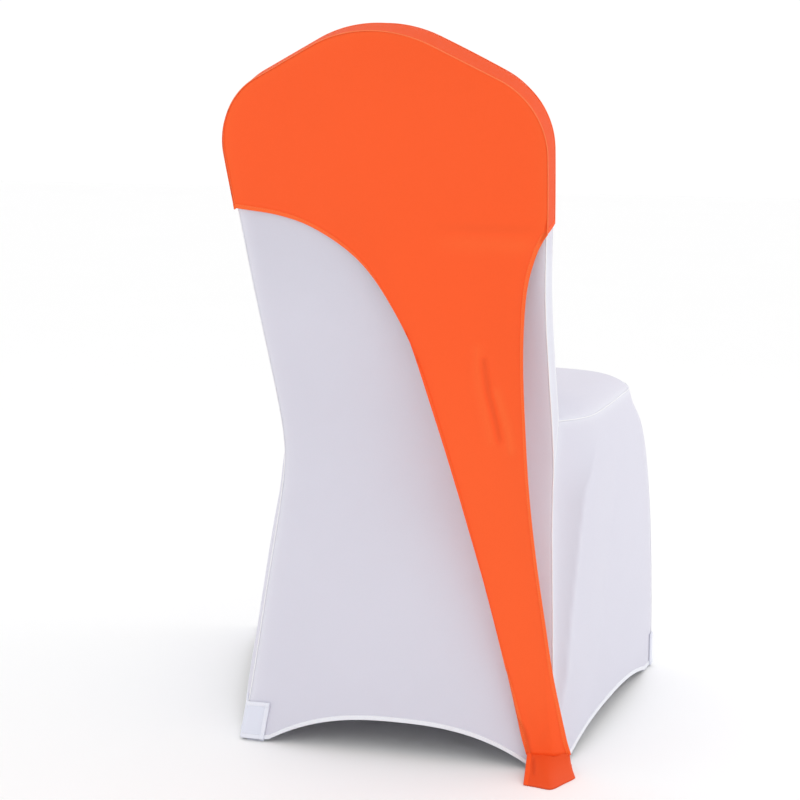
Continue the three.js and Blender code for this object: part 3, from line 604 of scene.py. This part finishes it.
def overCrown(sides, crownLine):
    return np.concatenate([sides["left"][::-1], crownLine[1:-1], sides["right"]])


stripSeams = overCrown(stripRear, crownRear), overCrown(stripFront, crownFront)
stripGrid = bandBetween(*stripSeams, openEnds, counts["strip"])
openStrip = strip["openSwell"] * ease((strip["openFrom"] - stripGrid[..., 2]) / strip["openOver"])
addPanel("sideStrip", "cover_side_strip", stripGrid, -1, openEnds, "whiteKnit", openStrip)


padded = {"over": 190, "sidePower": 4, "held": 0.03}


def insideDepth(x, z):  # the padded face that the sitter leans on
    outline = crownEdge()[::-1]
    top = np.interp(x, outline[:, 0], outline[:, 1]) + cover["boxingRise"]
    below = ease((top - z) / padded["over"])
    within = 1 - np.minimum(1, np.abs(x / backAt["half"](z))) ** padded["sidePower"]
    padding = cover["backPadding"] * below * within
    return backDepth(x, z - cover["boxingRise"]) - cover["boxingDepth"] - padding


def heldEdges(u, v):  # 0 at the sides and the top, which stay on their seams
    return np.minimum(ease(np.minimum(u, 1 - u) / padded["held"]), ease(v / padded["held"]))


grid, u, v = patchOf(crownFront, seatLine, sideFront["left"], sideFront["right"], flatBelow, counts["inside"])
face = insideDepth(grid[..., 0], grid[..., 2])
face = mix(face, grid[..., 1], ease(6 * v - 5))   # it meets the seat in its last sixth
grid[..., 1] = mix(grid[..., 1], face, heldEdges(u, v))
addPanel("insidePanel", "cover_inside_panel", grid, 1, flatBelow, "whiteKnit")

grid, u, v = patchOf(seatLine, frontSeam, seatSide["left"], seatSide["right"], flatAbove, counts["seat"])
seat = {"sidePower": 12, "frontPower": 20, "rearShare": 0.5, "rearSeam": 0.06}
dome = (1 - (2 * u - 1) ** seat["sidePower"]) * (1 - v ** seat["frontPower"])
dome = dome * mix(seat["rearShare"], 1, ease(3 * v)) * ease(v / seat["rearSeam"])   # lower in its rear third
grid[..., 2] += cover["seatDome"] * dome
addPanel("seatPanel", "cover_seat_panel", grid, 1, flatAbove, "whiteKnit")

leftCorner, rightCorner = cornerLine["left"], cornerLine["right"]
hemFront = hemLine(leftCorner[-1], rightCorner[-1], cover["hemRise"]["front"])
frontGrid = patchOf(frontSeam, hemFront, leftCorner, rightCorner, hemBelow, counts["front"])[0]
addPanel("frontSkirt", "cover_front_skirt", frontGrid, 1, hemBelow, "whiteKnit")

# The right skirt is pulled tight in a ridge from the seat's rear corner down to the rear foot.
pull = {
    "down": [0.06, 0.143, 0.191, 0.231, 0.327, 0.415, 0.574, 0.742, 0.861, 1.0],
    "across": [0.31, 0.235, 0.197, 0.158, 0.138, 0.12, 0.085, 0.06, 0.03, 0.0],
    "height": 10, "rearSlope": 0.16, "frontSlope": 0.32, "sharp": 0.012,
    "from": 0.05, "to": 0.93, "fade": 0.22,
    "litCrest": 1.0, "crestWidth": 0.008,                        # the ridge's sharp edge, raised a little and painted lighter: a painted highlight
    "hollow": 1.3, "hollowFrom": 0.005, "hollowOver": 0.02,   # between it and the rear seam, sunk a little and painted darker: painted shade
}


def pulledRidge(grid, u, v, hand):
    line = np.interp(v, pull["down"], pull["across"])
    offset = u - line
    away = np.sqrt(offset**2 + pull["sharp"] ** 2) - pull["sharp"]
    slope = np.where(offset < 0, pull["rearSlope"], pull["frontSlope"])
    fade = ease((v - pull["from"]) / pull["fade"]) * ease((pull["to"] - v) / pull["fade"])
    fade = fade * ease(u / np.maximum(line, 0.02))   # nothing moves at the rear seam itself
    ridge = pull["height"] * fade * np.maximum(0, 1 - away / slope)
    litCrest = pull["litCrest"] * hill(offset, pull["crestWidth"])
    hollow = pull["hollow"] * ease((pull["hollowFrom"] - offset) / pull["hollowOver"])
    return grid + facing(grid, hand) * ridge[..., None], (litCrest - hollow) * fade


sideGrid = {}
for name, hand in hands.items():
    hemSide = hemLine(skirtRear[name][-1], cornerLine[name][-1], cover["hemRise"]["side"])
    grid, u, v = patchOf(seatSide[name], hemSide, skirtRear[name], cornerLine[name], hemBelow, counts["side"])
    sideGrid[name], lift = pulledRidge(grid, u, v, hand) if name == "right" else (grid, None)
    addPanel(name + "Skirt", "cover_" + name + "_skirt", sideGrid[name], hand, hemBelow, "whiteKnit", lift)
print("cover panels made")

# The sash's edges from the hood to the foot, seen from behind.
tailTable = {
    "leftX": [195, 136, 91, 40.5, 3.5, -35, -69, -92, -113, -133, -152.5, -169, -177],
    "leftZ": [708, 700, 684, 649, 602, 528, 429, 354, 278, 201, 123, 52, 23],
    "rightX": [-194, -187, -179, -170.5, -166.5, -166, -171, -177, -186.5, -198.5, -211, -226, -233.5],
    "rightZ": [686, 676, 658, 626, 584, 520, 427, 354, 278, 201, 123, 52, 26],
}
sash = {
    "out": 1.9,                            # its outer face over the cover's, where it lies on it
    "frontOut": 2.09,                      # and over the padded face
    "layerGap": 0.9,                       # between the sash and the padded face
    "hoodLow": {"left": 708, "right": 686},
    "seamTop": 780, "seamSide": 150,       # where its right edge begins, on the crown's right slope
    "tailTop": (690, 121),                 # height and depth of the pulled line
    "tailFoot": (20, 88),
    "tailSoft": 5,
    "hug": {"start": 230, "end": 60, "turn": 8, "reach": 20, "inside": 6},
    "notch": {"above": 2, "over": 6},      # where the hood's seam ends and the tail's hem begins
    "crease": {"height": 672, "rise": 1.2, "width": 9.9},   # across it below the hood, raised and painted lighter: a painted highlight
    # a shallow dip above it, painted in shade
    "dip": {"height": 690, "rise": -0.5, "width": 6.6},
    "creaseEnds": {"right": -190, "rightOver": 30, "left": -40, "leftOver": 60},
    "free": {"rise": 0.9, "top": 600, "topOver": 250, "foot": 40, "footOver": 80},   # off its line; the raised tail is painted lighter too, a painted highlight
}


def sashDepth(x, z):
    rake = (backDepth(x, z + 1) - backDepth(x, z - 1)) / 2
    onCover = backDepth(x, z) + sash["out"] * np.hypot(1, rake)
    (topZ, topY), (footZ, footY) = sash["tailTop"], sash["tailFoot"]
    pulled = mix(footY, topY, (z - footZ) / (topZ - footZ))
    free = 0.5 * (onCover + pulled + np.hypot(onCover - pulled, sash["tailSoft"]))
    hug = sash["hug"]
    low = np.minimum(z, hug["start"])
    edgeX = backAt["lean"](low) - backAt["half"](low)
    turned = ease((edgeX + hug["inside"] - x) / hug["reach"]) * hug["turn"]
    return free - turned * ease((hug["start"] - z) / (hug["start"] - hug["end"]))


def onSash(x, z):
    return np.stack([x, sashDepth(x, z), z], axis=-1)


def inFrontOfHood(line, towards):
    x, z = line[:, 0], line[:, 2]
    y = backDepth(x, z) - cover["boxingDepth"] - sash["frontOut"]
    return np.stack([x + towards * cover["boxingFlare"], y, z + riseAt(x)], -1)


hoodLow = sash["hoodLow"]
hoodRear = {name: onSash(*sideEdge(hand, hoodLow[name], sash["out"]).T) for name, hand in hands.items()}
hoodCrown = onSash(*crownEdge(sash["out"]).T)
hoodLine = overCrown(hoodRear, hoodCrown)
hoodFront = {name: inFrontOfHood(hoodRear[name], hand) for name, hand in hands.items()}
hoodFrontCrown = inFrontOfHood(hoodCrown, np.linspace(1, -1, len(hoodCrown)))
hoodFrontLine = overCrown(hoodFront, hoodFrontCrown)

seenFromBehind = [1, 0, 1]
tailEdge = {}
for name in hands:
    rows = range(len(tailTable[name + "X"]))
    steps = np.linspace(0, rows[-1], 300)
    x, z = (smoothCurve(rows, tailTable[name + axis])(steps) for axis in "XZ")
    tailEdge[name] = np.stack([x, 0 * x, z], -1)
    tailEdge[name][0] = hoodRear[name][-1] * seenFromBehind   # the hood's lower corner
flatHood = hoodLine * seenFromBehind
lowHood = (flatHood[:, 2] < sash["seamTop"]) * 1000
shoulder = np.argmin(np.abs(flatHood[:, 0] + sash["seamSide"]) + lowHood)
rightEdge = np.concatenate([flatHood[shoulder:], tailEdge["right"][1:]])
tailEnd = np.linspace(tailEdge["left"][-1], tailEdge["right"][-1], 40)
kinds = edgeKinds("seam", "open", "hem", "hem")
sashGrid = patchOf(flatHood[:shoulder + 1], tailEnd, tailEdge["left"], rightEdge, kinds, counts["sash"])[0]
notch = ease((hoodLow["right"] + sash["notch"]["above"] - sashGrid[:, -1:, 2]) / sash["notch"]["over"])
kinds["right"] = [("seam", 1 - notch), ("hem", notch)]   # sewn along the hood, hemmed along the tail

# Soft folds: points seen from behind, height in millimetres (negative for a hollow) and width. Their hollows
# get painted shade and their rises a painted highlight.
folds = [
    {"line": [(-117, 530), (-119, 517), (-124, 489), (-132, 459), (-138, 433)], "rise": -2.2, "width": 4.5},
    {"line": [(-110, 544), (-112, 500), (-121, 463), (-128, 432)], "rise": 1.4, "width": 7},
    {"line": [(-135, 492), (-142, 468), (-147, 452), (-153, 421)], "rise": 2.0, "width": 6},
    {"line": [(-150, 131), (-156, 104), (-164, 71), (-174, 53), (-178, 35), (-180, 24)],
     "rise": -3.0, "width": 3.2},
    {"line": [(-185, 676), (-191, 688), (-193.5, 698)], "rise": -2.4, "width": 1.8},
    {"line": [(-206, 84), (-203, 60), (-196, 40)], "rise": -0.4, "width": 7},
]
lift = np.zeros(sashGrid.shape[:2])
for fold in folds:
    line = roundCurve([(x, 0, z) for x, z in fold["line"]], 24)
    lift += fold["rise"] * nearness(sashGrid * seenFromBehind, line, fold["width"])
sashX, sashZ = sashGrid[..., 0], sashGrid[..., 2]
ends, free = sash["creaseEnds"], sash["free"]
overTail = ease((sashX - ends["right"]) / ends["rightOver"]) * ease((ends["left"] - sashX) / ends["leftOver"])
for band in (sash["crease"], sash["dip"]):
    lift += band["rise"] * hill(sashZ - band["height"], band["width"]) * overTail
lift += (free["rise"] * ease((free["top"] - sashZ) / free["topOver"])
         * ease((sashZ - free["foot"]) / free["footOver"]))
sashGrid[..., 1] = sashDepth(sashX, sashZ)
addPanel("sashPanel", "sash_panel", sashGrid, -1, kinds, "orangeKnit", lift)

hoodGrid = bandBetween(hoodLine, hoodFrontLine, hemmedEnds, counts["hoodStrip"])
addPanel("hoodStrip", "sash_hood_strip", hoodGrid, -1, hemmedEnds, "shadedStripKnit")

left, right = hoodFront["left"], hoodFront["right"]
insideHem = np.linspace(left[-1], right[-1], 80)
grid, u, v = patchOf(hoodFrontCrown, insideHem, left, right, hemBelow, counts["hood"])
covered = insideDepth(grid[..., 0], grid[..., 2]) - sash["frontOut"] - sash["layerGap"]
grid[..., 1] = mix(grid[..., 1], covered, heldEdges(u, v))
addPanel("hoodInside", "sash_hood_inside", grid, 1, hemBelow, "orangeKnit")
print("sash made")

# Each foot has a second layer round its corner and a sole under it.
foot = {
    "height": 52, "reach": 31,           # of the patch, along the rear or front panel
    "cloth": 1.1, "gap": 0.9,
    "soften": 6,                         # rounds of smoothing at the corner
    "wall": [42, 40.5, 38, 30, 20, 12, 7, 4.6, 3.2],   # heights of the sole's cloth up inside the leg
    "tuck": [0.97, 0.9, 0.7, 0.45, 0.2],               # shares of its reach left as it turns under
    "inset": 2.2, "shorter": 0.6, "rounding": 4,
    "floorGap": 0.1, "pocketGap": 1.9,   # under a sole, and under the one that stands in the sash's pocket
    "soleRise": 1.3,                     # from that gap to the sole's upper face
    "aimHeight": 30, "aimReach": 20,     # where the two panels' directions are taken
}


def rowAt(grid, height, side):  # the line across a panel that meets its corner at a height
    column = -grid[:, 0 if side == "left" else -1, 2]
    row = np.array([[np.interp(-height, column, grid[:, k, axis]) for axis in range(3)]
                    for k in range(grid.shape[1])])
    return row if side == "left" else row[::-1]


def reachAlong(line, reach, count):
    return alongLine(line, np.linspace(0, reach, count) / lengthOf(line))


# A corner has a panel and its side there, the skirt beside it, which way is out, and the skirt's reach.
corners = {
    "rear_left": ((rearGrid, "left"), (sideGrid["left"], "left"), 1, 30),
    "rear_right": ((rearGrid, "right"), (sideGrid["right"], "left"), -1, 13),
    "front_left": ((frontGrid, "left"), (sideGrid["left"], "right"), -1, 30),
    "front_right": ((frontGrid, "right"), (sideGrid["right"], "right"), 1, 13),
}


def cornerLabel(name):
    return name.title().replace("_", "")


for name, ((panel, panelSide), (skirt, skirtSide), turn, skirtReach) in corners.items():
    v = spread(counts["patch"][1], [foot["height"] - cover["hemHeight"]], "hem", "hem")[0]
    rows = []
    for height in mix(foot["height"], cover["hemHeight"], v):
        oneWay = reachAlong(rowAt(panel, height, panelSide), foot["reach"], 40)
        otherWay = reachAlong(rowAt(skirt, height, skirtSide), skirtReach, 40)
        path = np.concatenate([oneWay[::-1], otherWay[1:]])
        for _ in range(foot["soften"]):
            path[1:-1] = 0.5 * path[1:-1] + 0.25 * (path[:-2] + path[2:])
        rows.append(alongLine(path, spread(counts["patch"][0], [lengthOf(path)], "hem", "hem")[0]))
    grid = np.array(rows)
    out = unit(facing(grid, turn) * [1, 1, 0])
    grid = grid + out * (foot["gap"] + cover["cloth"])
    addPanel("footPatch" + cornerLabel(name), "foot_patch_" + name, grid, turn, hemAround, "doubledWhiteKnit",
             cloth=foot["cloth"])
print("foot patches made")


def solePlan():  # seen from above: along one panel, round the inner corner and back along the other
    inset, reach = foot["inset"], foot["reach"] - foot["shorter"]
    half = [(reach, inset), (reach, 8), (reach, 16), (reach, 22), (reach - 1.2, reach - foot["rounding"])]
    bend = half + [(q, p) for p, q in half[::-1]]
    return roundCurve([(p, q, 0) for p, q in bend], 30)


plan = solePlan()
for name, (rear, beside, turn, _) in corners.items():
    floorGap = foot["pocketGap"] if name == "rear_right" else foot["floorGap"]
    lines = [rowAt(panel, foot["aimHeight"], side) for panel, side in (rear, beside)]
    aims = [reachAlong(line, foot["aimReach"], 2)[1] - line[0] for line in lines]
    along, across = (unit(aim * [1, 1, 0]) for aim in aims)
    low, high = (rowAt(rear[0], height, rear[1])[0] for height in (cover["hemHeight"], foot["height"]))
    lean = (high - low) / (high[2] - low[2])
    under = floorGap + foot["soleRise"]

    def soleRing(height, share):  # the plan at a height, drawn in to the corner by a share
        p, q = (mix(foot["inset"], plan[:, axis, None], share) for axis in (0, 1))
        return low + lean * (height - low[2]) + p * along + q * across

    wall = [soleRing(height, 1) for height in [*foot["wall"], under + 0.1]]
    grid = np.array(wall + [soleRing(under, share) for share in foot["tuck"]])
    grid[..., 2] = np.maximum(grid[..., 2], under)
    addPanel("footSole" + cornerLabel(name), "foot_sole_" + name, grid, turn, openAround, "doubledWhiteKnit",
             cloth=foot["cloth"])
print("foot soles made")

# The sash's pocket flares from the end of the tail to its edge on the floor, and turns in under the foot.
pocket = {
    "topLeft": (-178, 24.8), "topRight": (-231, 27.8), "topCorner": (-231.5, 73, 27.5),
    "underTail": 1.5,
    "edge": [(-181, 131), (-200, 134.5), (-215, 137), (-219, 134.5), (-230, 115), (-240, 96), (-241, 91),
             (-234, 76)],
    "inside": [(-193, 52, 0), (-231, 52, 0)],
    "flare": 1.5, "swell": 1.8,
    "wall": [0, 0.04, 0.09, 0.15, 0.22, 0.3, 0.38, 0.46, 0.54, 0.62, 0.7, 0.77, 0.83, 0.88, 0.92, 0.95],
    "under": [0.03, 0.08, 0.16, 0.28, 0.42, 0.58, 0.74, 0.9, 1.0],   # shares of the way in under the foot
    "turnIn": 0.2, "turnUp": 0.5,
    "slit": {"across": 0.13, "width": 0.022, "depth": 2.0, "from": 0.2, "to": 0.8},   # beside its left edge, sunk and painted darker: painted shade
}
pocketAcross = np.linspace(0, 1, 61)
tailLow = onSash(*np.linspace(pocket["topLeft"], pocket["topRight"], 9).T) - [0, pocket["underTail"], 0]
topLine = roundCurve([*tailLow[::2], pocket["topCorner"]], 60)
floorEdge = roundCurve([(x, y, 0) for x, y in pocket["edge"]], 60)
insideLine = np.linspace(*pocket["inside"], 61)
outward = unit(floorEdge - topLine * [1, 1, 0])
swelling = pocket["swell"] * (0.6 + 0.4 * (2 * pocketAcross[:, None] - 1) ** 2)
rows = [mix(topLine, floorEdge, t ** pocket["flare"]) - math.sin(math.pi * t) * swelling * outward
        for t in pocket["wall"]]
floorEdge = floorEdge + [0, 0, floorRoom]
insideLine = insideLine + [0, 0, floorRoom]
inward = unit(insideLine - [0, 0, floorRoom] - floorEdge)
rows.append(floorEdge + inward * pocket["turnIn"] + [0, 0, pocket["turnUp"]])
rows += [mix(floorEdge, insideLine, t) for t in pocket["under"]]
slit = pocket["slit"]
down = np.array(pocket["wall"] + [1] * (len(pocket["under"]) + 1))[:, None]
lift = -slit["depth"] * hill(pocketAcross - slit["across"], slit["width"])
lift = lift * ease((down - slit["from"]) / 0.2) * ease((slit["to"] - down) / 0.15)
kinds = edgeKinds("open", "open", "hem", "open")
addPanel("sashPocket", "sash_foot_pocket", np.array(rows), -1, kinds, "shadedPocketKnit", lift, foot["cloth"])
print("sash pocket made")


class NodeTree:  # a Geometry Nodes tree with named inputs, grown along lines
    def __init__(self, name, inputs):
        self.tree = bpy.data.node_groups.new(name, "GeometryNodeTree")
        face = self.tree.interface
        face.new_socket("Geometry", in_out="INPUT", socket_type="NodeSocketGeometry")
        self.sockets = {}
        for label, kind, value in inputs:
            socket = face.new_socket(label, in_out="INPUT", socket_type=kind)
            if value is not None:
                socket.default_value = value
            self.sockets[label] = socket.identifier
        face.new_socket("Geometry", in_out="OUTPUT", socket_type="NodeSocketGeometry")
        self.entry = self.tree.nodes.new("NodeGroupInput")

    def node(self, kind, settings=None, sockets=None, output=0):
        node = self.tree.nodes.new(kind)
        for key, value in (settings or {}).items():
            setattr(node, key, value)
        for key, value in (sockets or {}).items():
            if isinstance(value, bpy.types.NodeSocket):
                self.tree.links.new(value, node.inputs[key])
            else:
                node.inputs[key].default_value = value
        return node.outputs[output] if len(node.outputs) else node

    def given(self, label):
        return self.entry.outputs[label]

    def maths(self, operation, *numbers):
        return self.node("ShaderNodeMath", {"operation": operation}, dict(enumerate(numbers)))

    def pathEvery(self, label):  # the carrier's lines as curves with a point at every step
        curve = self.node("GeometryNodeMeshToCurve", None, {"Mesh": self.given("Geometry")})
        return self.node("GeometryNodeResampleCurve", {"mode": "LENGTH"},
                         {"Curve": curve, "Length": self.given(label)})

    def close(self, geometry):
        real = self.node("GeometryNodeRealizeInstances", None, {"Geometry": geometry})
        sockets = {"Geometry": real, "Material": self.given("Material")}
        dyed = self.node("GeometryNodeSetMaterial", None, sockets)
        self.node("NodeGroupOutput", None, {0: dyed})

    def grow(self, name, lines, values):  # runs the tree along lines and returns a plain mesh object
        mesh = bpy.data.meshes.new(name + "Line")
        pairs, start = [], 0
        for line in lines:
            pairs += [(start + k, start + k + 1) for k in range(len(line) - 1)]
            start += len(line)
        mesh.from_pydata(toMetres(np.concatenate(lines)), pairs, [])
        carrier = placed(name + "Line", mesh)
        modifier = carrier.modifiers.new(name, "NODES")
        modifier.node_group = self.tree
        for label, value in values.items():
            modifier[self.sockets[label]] = value
        bpy.context.view_layer.update()
        shape = carrier.evaluated_get(bpy.context.evaluated_depsgraph_get())
        grown = placed(name, bpy.data.meshes.new_from_object(shape))
        grown.data.name = name
        bpy.data.objects.remove(carrier)
        return grown


ridge = NodeTree("sewnRidge", [
    ("Radius", "NodeSocketFloat", 0.0008), ("Step", "NodeSocketFloat", 0.0012),
    ("Wave", "NodeSocketFloat", 0.12), ("Turn", "NodeSocketFloat", 2.1),
    ("Material", "NodeSocketMaterial", None)])
wave = ridge.maths("MULTIPLY", ridge.node("GeometryNodeInputIndex"), ridge.given("Turn"))
wave = ridge.maths("MULTIPLY_ADD", ridge.maths("SINE", wave), ridge.given("Wave"), 1.0)
curve = ridge.node("GeometryNodeSetCurveRadius", None, {"Curve": ridge.pathEvery("Step"), "Radius": wave})
around = ridge.node("GeometryNodeCurvePrimitiveCircle", None,
                    {"Resolution": 6, "Radius": ridge.given("Radius")})
ridge.close(ridge.node("GeometryNodeCurveToMesh", None,
                       {"Curve": curve, "Profile Curve": around, "Fill Caps": True}))

stitches = NodeTree("stitchRow", [
    ("Pitch", "NodeSocketFloat", 0.0031), ("Length", "NodeSocketFloat", 0.0022),
    ("Thread", "NodeSocketFloat", 0.00028), ("Unevenness", "NodeSocketFloat", 0.08),
    ("Seed", "NodeSocketInt", 7), ("Material", "NodeSocketMaterial", None)])
half = stitches.maths("MULTIPLY", stitches.given("Length"), 0.5)
size = stitches.node("ShaderNodeCombineXYZ", None,
                     {0: half, 1: stitches.given("Thread"), 2: stitches.given("Thread")})
bead = stitches.node("GeometryNodeMeshUVSphere", None, {"Segments": 6, "Rings": 4, "Radius": 1.0})
bead = stitches.node("GeometryNodeTransform", None, {"Geometry": bead, "Scale": size})
alongSeam = stitches.node("FunctionNodeAlignRotationToVector", {"axis": "X"},
                          {"Vector": stitches.node("GeometryNodeInputTangent")})
smallest = stitches.maths("SUBTRACT", 1.0, stitches.given("Unevenness"))
uneven = stitches.node("FunctionNodeRandomValue", {"data_type": "FLOAT"},
                       {2: smallest, 3: 1.0, "Seed": stitches.given("Seed")}, 1)
stitches.close(stitches.node("GeometryNodeInstanceOnPoints", None, {
    "Points": stitches.pathEvery("Pitch"), "Instance": bead, "Rotation": alongSeam, "Scale": uneven}))

hemIndex = 5             # the grid line on which a hem is stitched
inSeams = slice(4, -4)   # the part of a row between its side seams
lastHem = -1 - hemIndex


def outerOf(name):
    return made[name]["outer"]


def below(line, height):
    return line[line[:, 2] < height]


seamEnds = {"underHood": 6, "belowHood": 3}   # cover seams run up under the hood, tail stitches stop below
coverSeamLines = [seatLine, frontSeam]
for name in hands:
    low = hoodLow[name] + seamEnds["underHood"]
    coverSeamLines += [below(rearEdge[name], low), below(stripFront[name], low + cover["boxingRise"]),
                       seatSide[name], cornerLine[name]]
hemmedPanels = ("rearPanel", "frontSkirt", "leftSkirt", "rightSkirt")
hemLines = [outerOf(name)[lastHem, inSeams] for name in hemmedPanels]
sashHemLines = [
    outerOf("sashPanel")[:, hemIndex],
    below(outerOf("sashPanel")[:, lastHem], hoodLow["right"] - seamEnds["belowHood"]),
    outerOf("hoodStrip")[hemIndex, inSeams], outerOf("hoodStrip")[lastHem, inSeams],
    outerOf("hoodInside")[lastHem, inSeams],
]
patchLines = []
for name in corners:
    patch = outerOf("footPatch" + cornerLabel(name))
    patchLines.append(np.concatenate([patch[-4:3:-1, 3], patch[3, 3:-3], patch[3:-3, -4]]))

seamRadius, patchPitch = 0.00065, 0.0028
trims = {   # what makes it, along which lines, with which values, and its slot
    "coverSeams": (ridge, coverSeamLines, {"Radius": seamRadius, "Material": whiteThread}, "white_cloth"),
    "sashSeams": (ridge, [hoodLine, hoodFrontLine], {"Radius": seamRadius, "Material": orangeThread},
                  "orange_cloth"),
    "coverHemStitches": (stitches, hemLines, {"Material": whiteThread}, "white_cloth"),
    "patchStitches": (stitches, patchLines, {"Pitch": patchPitch, "Material": whiteThread},
                      "doubled_white_cloth"),
    "sashHemStitches": (stitches, sashHemLines, {"Material": orangeThread}, "orange_cloth"),
}
sewnOn = {}
for name, (tree, lines, values, slot) in trims.items():
    sewnOn[name] = tree.grow(name, lines, values)
    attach(sewnOn[name], "root")
    print(name, len(sewnOn[name].data.polygons), "faces")

flatCut = {"side": 0.93, "area": 0.86}   # the cloth is cut smaller than it is worn, by length and by area
liesOn = {
    "rearPanel": ["cover_side_strip", "cover_left_skirt", "cover_right_skirt"],
    "sideStrip": ["cover_rear_panel", "cover_inside_panel"],
    "insidePanel": ["cover_side_strip", "cover_seat_panel"],
    "seatPanel": ["cover_inside_panel", "cover_left_skirt", "cover_right_skirt", "cover_front_skirt"],
    "frontSkirt": ["cover_seat_panel", "cover_left_skirt", "cover_right_skirt"],
    "leftSkirt": ["cover_seat_panel", "cover_rear_panel", "cover_front_skirt"],
    "rightSkirt": ["cover_seat_panel", "cover_rear_panel", "cover_front_skirt"],
    "sashPanel": ["cover_rear_panel"],
    "hoodStrip": ["cover_side_strip"],
    "hoodInside": ["cover_inside_panel"],
    "sashPocket": ["foot_patch_rear_right"],
}
for name, part in made.items():
    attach(part["piece"], "root")
    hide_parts(part["node"])
    grid = part["grid"] / 1000
    across, down = (np.linalg.norm(np.diff(grid, axis=axis), axis=2).sum(axis=axis).max() for axis in (1, 0))
    slants = np.cross(grid[1:, 1:] - grid[:-1, :-1], grid[1:, :-1] - grid[:-1, 1:])
    flat = (float(across * flatCut["side"]), float(down * flatCut["side"]))
    atRear = "_rear_" in part["node"]
    under = liesOn.get(name, ["cover_rear_panel" if atRear else "cover_front_skirt"])

view = {"place": (-486, 2042, 836), "yaw": 13.76, "pitch": 10.25, "roll": 0.56, "lens": 73.8}
yaw, pitch, roll = (math.radians(view[key]) for key in ("yaw", "pitch", "roll"))
forward = Vector((math.sin(yaw) * math.cos(pitch), -math.cos(yaw) * math.cos(pitch), -math.sin(pitch)))
right = forward.cross(Vector((0, 0, 1))).normalized()
up = right.cross(forward)
right, up = right * math.cos(roll) + up * math.sin(roll), up * math.cos(roll) - right * math.sin(roll)
camera = placed("camera", bpy.data.cameras.new("camera"))
camera.data.lens = view["lens"]
camera.data.sensor_width = 36
camera.data.clip_end = 60
camera.matrix_world = Matrix((right, up, -forward)).transposed().to_4x4()
camera.location = toMetres(np.array(view["place"]))
bpy.context.scene.camera = camera

studio = {"white": (1, 1, 1, 1), "strength": 1.03}
paleFloor = {"color": (0.97, 0.97, 0.97, 1), "speck": (0.93, 0.93, 0.93, 1), "specks": 0.3, "half": 14}
lamps = {   # place and aim in metres, size and power
    "topLight": ((-0.4, -0.3, 1.9), (0, -0.1, -0.4), 2.4, 0.6),
    "sideLight": ((-1.9, -0.9, 0.6), (0, 0, -0.25), 1.4, 5),
    "backLight": ((-1.3, 2.4, 1.3), (0, 0, -0.6), 2.0, 2.5),
}
world = bpy.data.worlds.new("studio")
world.use_nodes = True
background = world.node_tree.nodes["Background"]
background.inputs["Color"].default_value = studio["white"]
background.inputs["Strength"].default_value = studio["strength"]
bpy.context.scene.world = world
bpy.context.scene.view_settings.view_transform = "Standard"
for name, (place, aim, size, power) in lamps.items():
    lamp = placed(name, bpy.data.lights.new(name, "AREA"))
    lamp.data.shape = "DISK"
    lamp.data.size = size
    lamp.data.energy = power
    lamp.location = place
    lamp.rotation_euler = (Vector(aim) - Vector(place)).to_track_quat("-Z", "Y").to_euler()

floorMaterial, wire = newMaterial("paleFloor")
pale = wire.blend(wire.noise(wire.place(), 2.0) * paleFloor["specks"], paleFloor["color"], paleFloor["speck"])
finishMaterial(wire, {"Base Color": pale, "Roughness": 0.9})
floorMesh = bpy.data.meshes.new("floor")
ends = (-paleFloor["half"], paleFloor["half"])
square = [(ends[i], ends[j], -origin[2] / 1000) for i, j in ((0, 0), (1, 0), (1, 1), (0, 1))]
floorMesh.from_pydata(square, [], [(0, 1, 2, 3)])
floorMesh.materials.append(floorMaterial)
floor = placed("floor", floorMesh)
print("camera, lamps and floor placed")
